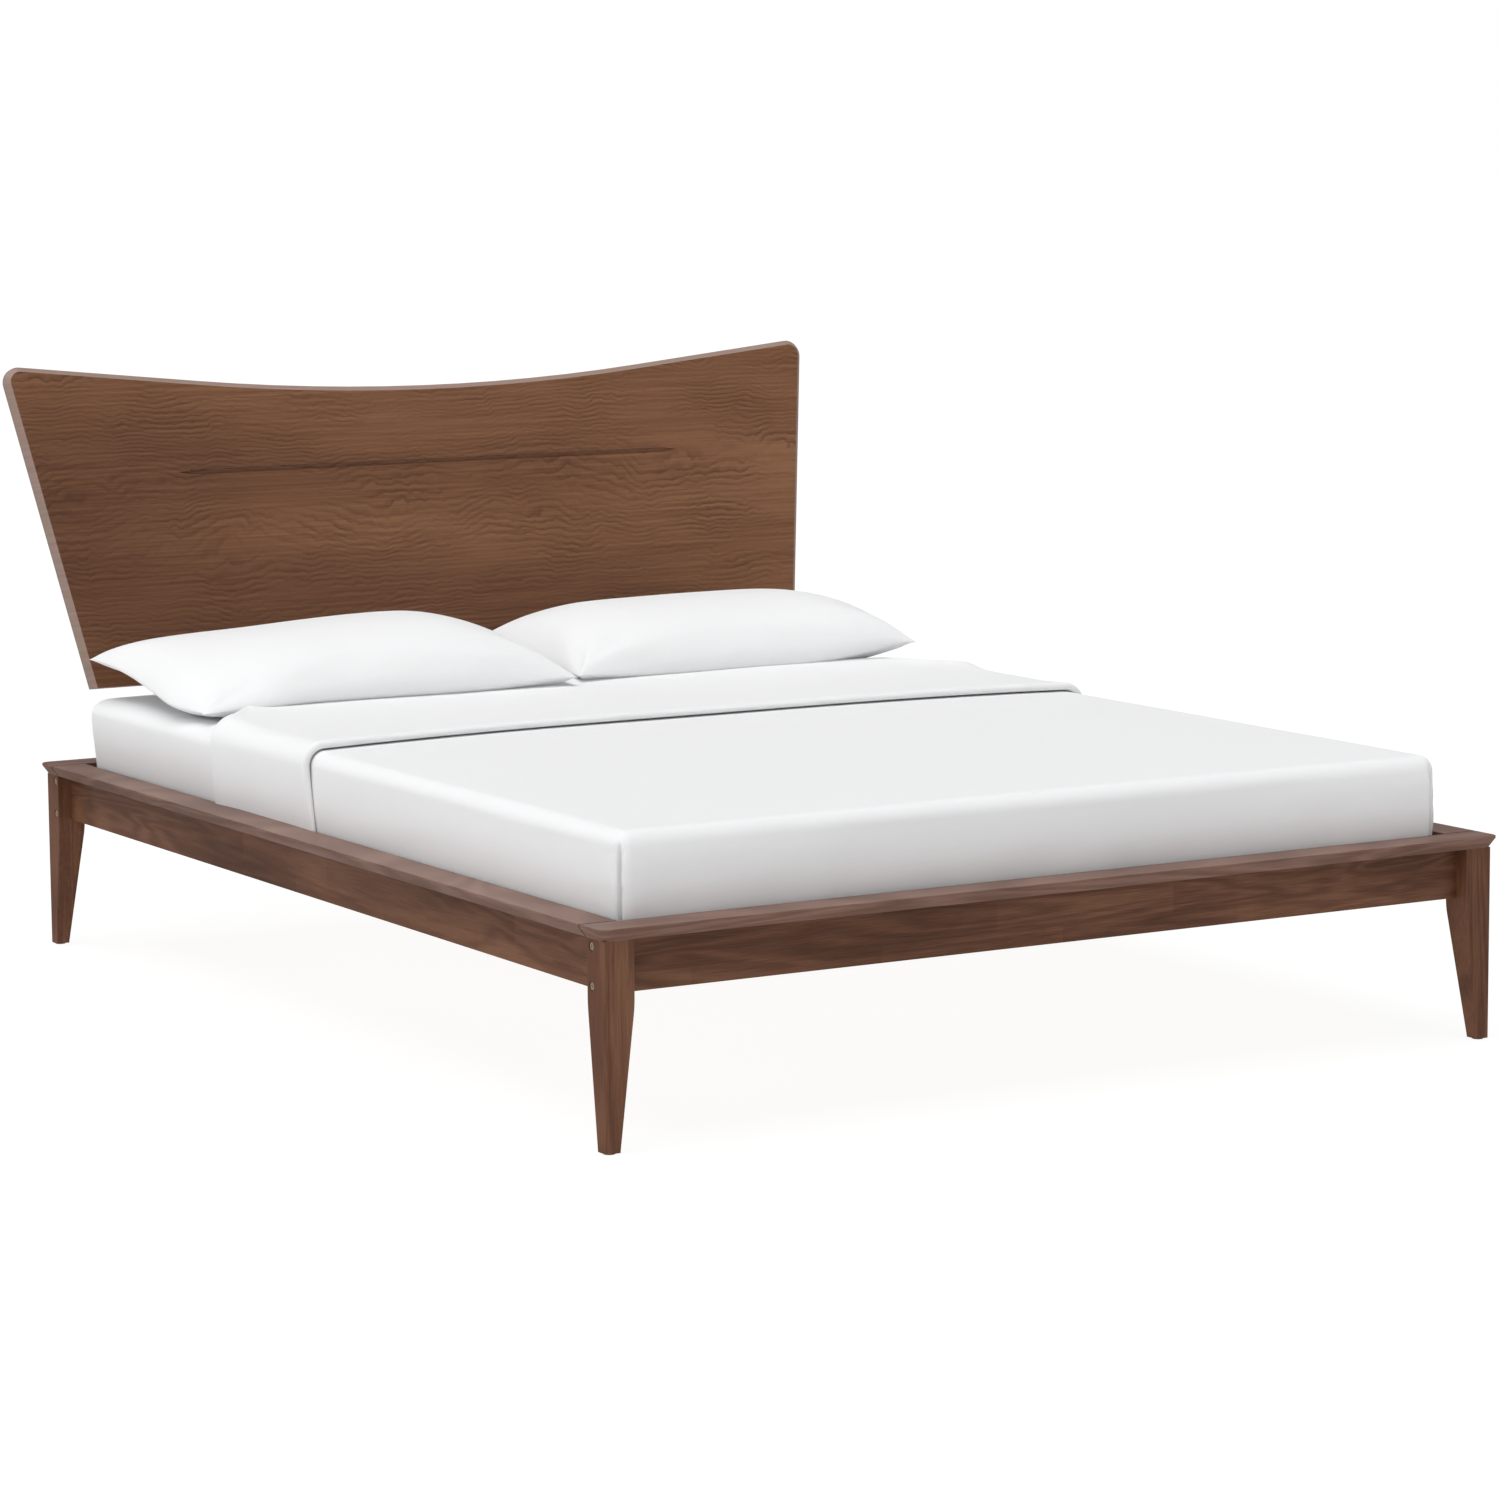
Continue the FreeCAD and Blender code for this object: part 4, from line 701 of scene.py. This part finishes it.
PILLOW_REST = 0.001             # between a pillow and the sheet
PILLOW_LENGTH, PILLOW_DEPTH = 0.765, 0.530
SEAM_SHARE = 0.36               # how much of a pillow's thickness is below its seam


def pillow_form(length, depth, thick, flap, slope, tuck, columns=76, rows=50):
    """A filled case: a dome above its seam, a flatter belly, and a loose corner at its open end.

    slope is how much thinner the end at -x is, as a share of the thickness, and tuck is how far its
    front corner is drawn in.
    """
    across = np.sin(np.linspace(-math.pi / 2, math.pi / 2, columns + 1))
    along = np.sin(np.linspace(-math.pi / 2, math.pi / 2, rows + 1))
    index, points, faces = {}, [], []

    def at(side, i, j):
        rim = i in (0, columns) or j in (0, rows)
        key = (0 if rim else side, i, j)
        if key not in index:
            index[key] = len(points)
            points.append((across[i], along[j], key[0]))
        return index[key]

    for side in (1, -1):
        for i in range(columns):
            for j in range(rows):
                face = (at(side, i, j), at(side, i + 1, j), at(side, i + 1, j + 1), at(side, i, j + 1))
                faces.append(face if side > 0 else face[::-1])
    u, v, side = np.array(points).T
    x = u * length / 2 * (1 - 0.050 * (1 - v ** 2) * u ** 4)
    y = v * depth / 2 * (1 - 0.060 * (1 - u ** 2) * v ** 4)
    x += flap * np.clip(u, 0, 1) ** 6 * (0.35 + 0.65 * (0.5 - 0.5 * v) ** 2)
    front_left = smoothstep(-0.45, -1.0, u) * smoothstep(-0.3, -1.0, v)
    x, y = x + tuck * front_left, y + 0.75 * tuck * front_left
    dome = np.clip(1 - np.abs(u) ** 4.0, 0, 1) ** 0.62 * np.clip(1 - np.abs(v) ** 2.6, 0, 1) ** 0.58
    dome *= 1 - slope * smoothstep(0.6, -1.0, u)
    z = dome * thick * np.where(side > 0, 1 - SEAM_SHARE, -0.75 * SEAM_SHARE)
    return np.column_stack([x, y, z]), np.column_stack([u, v, side]), faces


def creases(spots, places, amount):
    """Soft folds that fan out of the corners, and small puckers along the seam."""
    u, v, _ = spots.T
    total = np.zeros(len(spots))
    for corner, (cu, cv) in enumerate(((-1, -1), (-1, 1), (1, -1), (1, 1))):
        du, dv = (cu - u) * cu * 1.4, (cv - v) * cv
        far = np.hypot(du, dv)
        turn = np.arctan2(dv, du)
        fan = np.sin(turn * (9 + corner) + 1.7 * corner + 3.0 * far)
        total += amount * (1.5 if cu > 0 else 0.8) * fan * np.exp(-((far - 0.42) / 0.24) ** 2)
    seam = np.exp(-np.minimum(1 - np.abs(u), 1 - np.abs(v)) / 0.10)
    total += 0.5 * amount * ripple(places, (0.030, 0.030, 0.3), 6.3) * seam
    total += 0.9 * amount * ripple(places, (0.21, 0.17, 0.3), 2.9)
    return total


def relax(case, frames, reach):
    """Ease the filled case by cloth simulation under inner pressure, moving no point further than reach."""
    start = np.array([v.co for v in case.data.vertices])
    cloth = case.modifiers.new("fill", "CLOTH")
    settings = cloth.settings
    settings.quality = 6
    settings.mass = 0.3
    settings.tension_stiffness = settings.compression_stiffness = 18
    settings.shear_stiffness = 7
    settings.bending_stiffness = 0.6
    settings.air_damping = 2.5
    settings.use_pressure = True
    settings.uniform_pressure_force = 3.0
    settings.effector_weights.gravity = 0.0
    cloth.collision_settings.use_collision = False
    cloth.point_cache.frame_start = 1
    cloth.point_cache.frame_end = frames
    scene = bpy.context.scene
    for number in range(1, frames + 1):
        scene.frame_set(number)
        bpy.context.view_layer.update()
    depsgraph = bpy.context.evaluated_depsgraph_get()
    shape = np.array([v.co for v in case.evaluated_get(depsgraph).data.vertices])
    case.modifiers.remove(cloth)
    scene.frame_set(1)
    move = shape - start
    far = np.linalg.norm(move, axis=1)[:, None]
    return start + move * np.minimum(1, reach / np.maximum(far, 1e-9))


def make_pillow(side, thick, middle, turn, mirror, slope, tuck, seam_heights):
    """A pillow at rest on the bedding.

    seam_heights are over the sheet: the closed end's front corner, its back corner, the open end and
    the middle of the sides.
    """
    name = f"pillow_{side}_case"
    places, spots, faces = pillow_form(PILLOW_LENGTH, PILLOW_DEPTH, thick, 0.012, slope, tuck)
    u, v, panel = spots.T
    mesh = bpy.data.meshes.new(name)
    mesh.from_pydata(places.tolist(), [], faces)
    case = bpy.data.objects.new(name, mesh)
    bpy.context.scene.collection.objects.link(case)
    shape = relax(case, 14, 0.007)
    shape[:, 2] += creases(spots, places, 0.0022) * np.where(panel > 0, 1, 0.3) * (np.abs(u) < 0.9999)
    front_corner, back_corner, open_end, middle_seam = seam_heights
    closed = smoothstep(-0.25, -1.0, u)
    back = smoothstep(-0.8, 0.9, v)
    middle_seam = middle_seam * (1 - 0.40 * smoothstep(0.0, -1.0, v))
    seam = middle_seam + (front_corner + (back_corner - front_corner) * back - middle_seam) * closed
    seam = seam + (open_end - middle_seam) * smoothstep(0.45, 1.0, u)
    x = -shape[:, 0] if mirror else shape[:, 0]
    cos, sin = math.cos(math.radians(turn)), math.sin(math.radians(turn))
    spot_x, spot_y = middle[0] + x * cos - shape[:, 1] * sin, middle[1] + x * sin + shape[:, 1] * cos
    ground = SHEET_HIGH.z + PILLOW_REST + crown(spot_x, spot_y)
    height = seam + shape[:, 2]
    soft = 0.006
    height = ground + soft * np.logaddexp(0, height / soft)
    mesh.vertices.foreach_set("co", np.column_stack([spot_x, spot_y, height]).ravel())
    if mirror:
        mesh.flip_normals()
    mesh.materials.append(PILLOW_COTTON)
    mesh.polygons.foreach_set("use_smooth", [True] * len(mesh.polygons))
    mesh.update()
    finer = case.modifiers.new("finer", "SUBSURF")
    finer.levels = finer.render_levels = 1
    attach(case, f"pillow_{side}")
    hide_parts(f"pillow_{side}")


make_mattress()
make_fitted_sheet()
make_coverlet()
make_band()
pillow_y = (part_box("pillow_left")[0].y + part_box("pillow_left")[1].y) / 2
make_pillow("left", 0.146, (-0.425, pillow_y - 0.022), -3.0, False, 0.26, 0.040, (0.018, 0.070, 0.036, 0.050))
make_pillow("right", 0.134, (0.352, pillow_y - 0.008), 1.0, True, -0.08, 0.010, (0.056, 0.055, 0.034, 0.048))
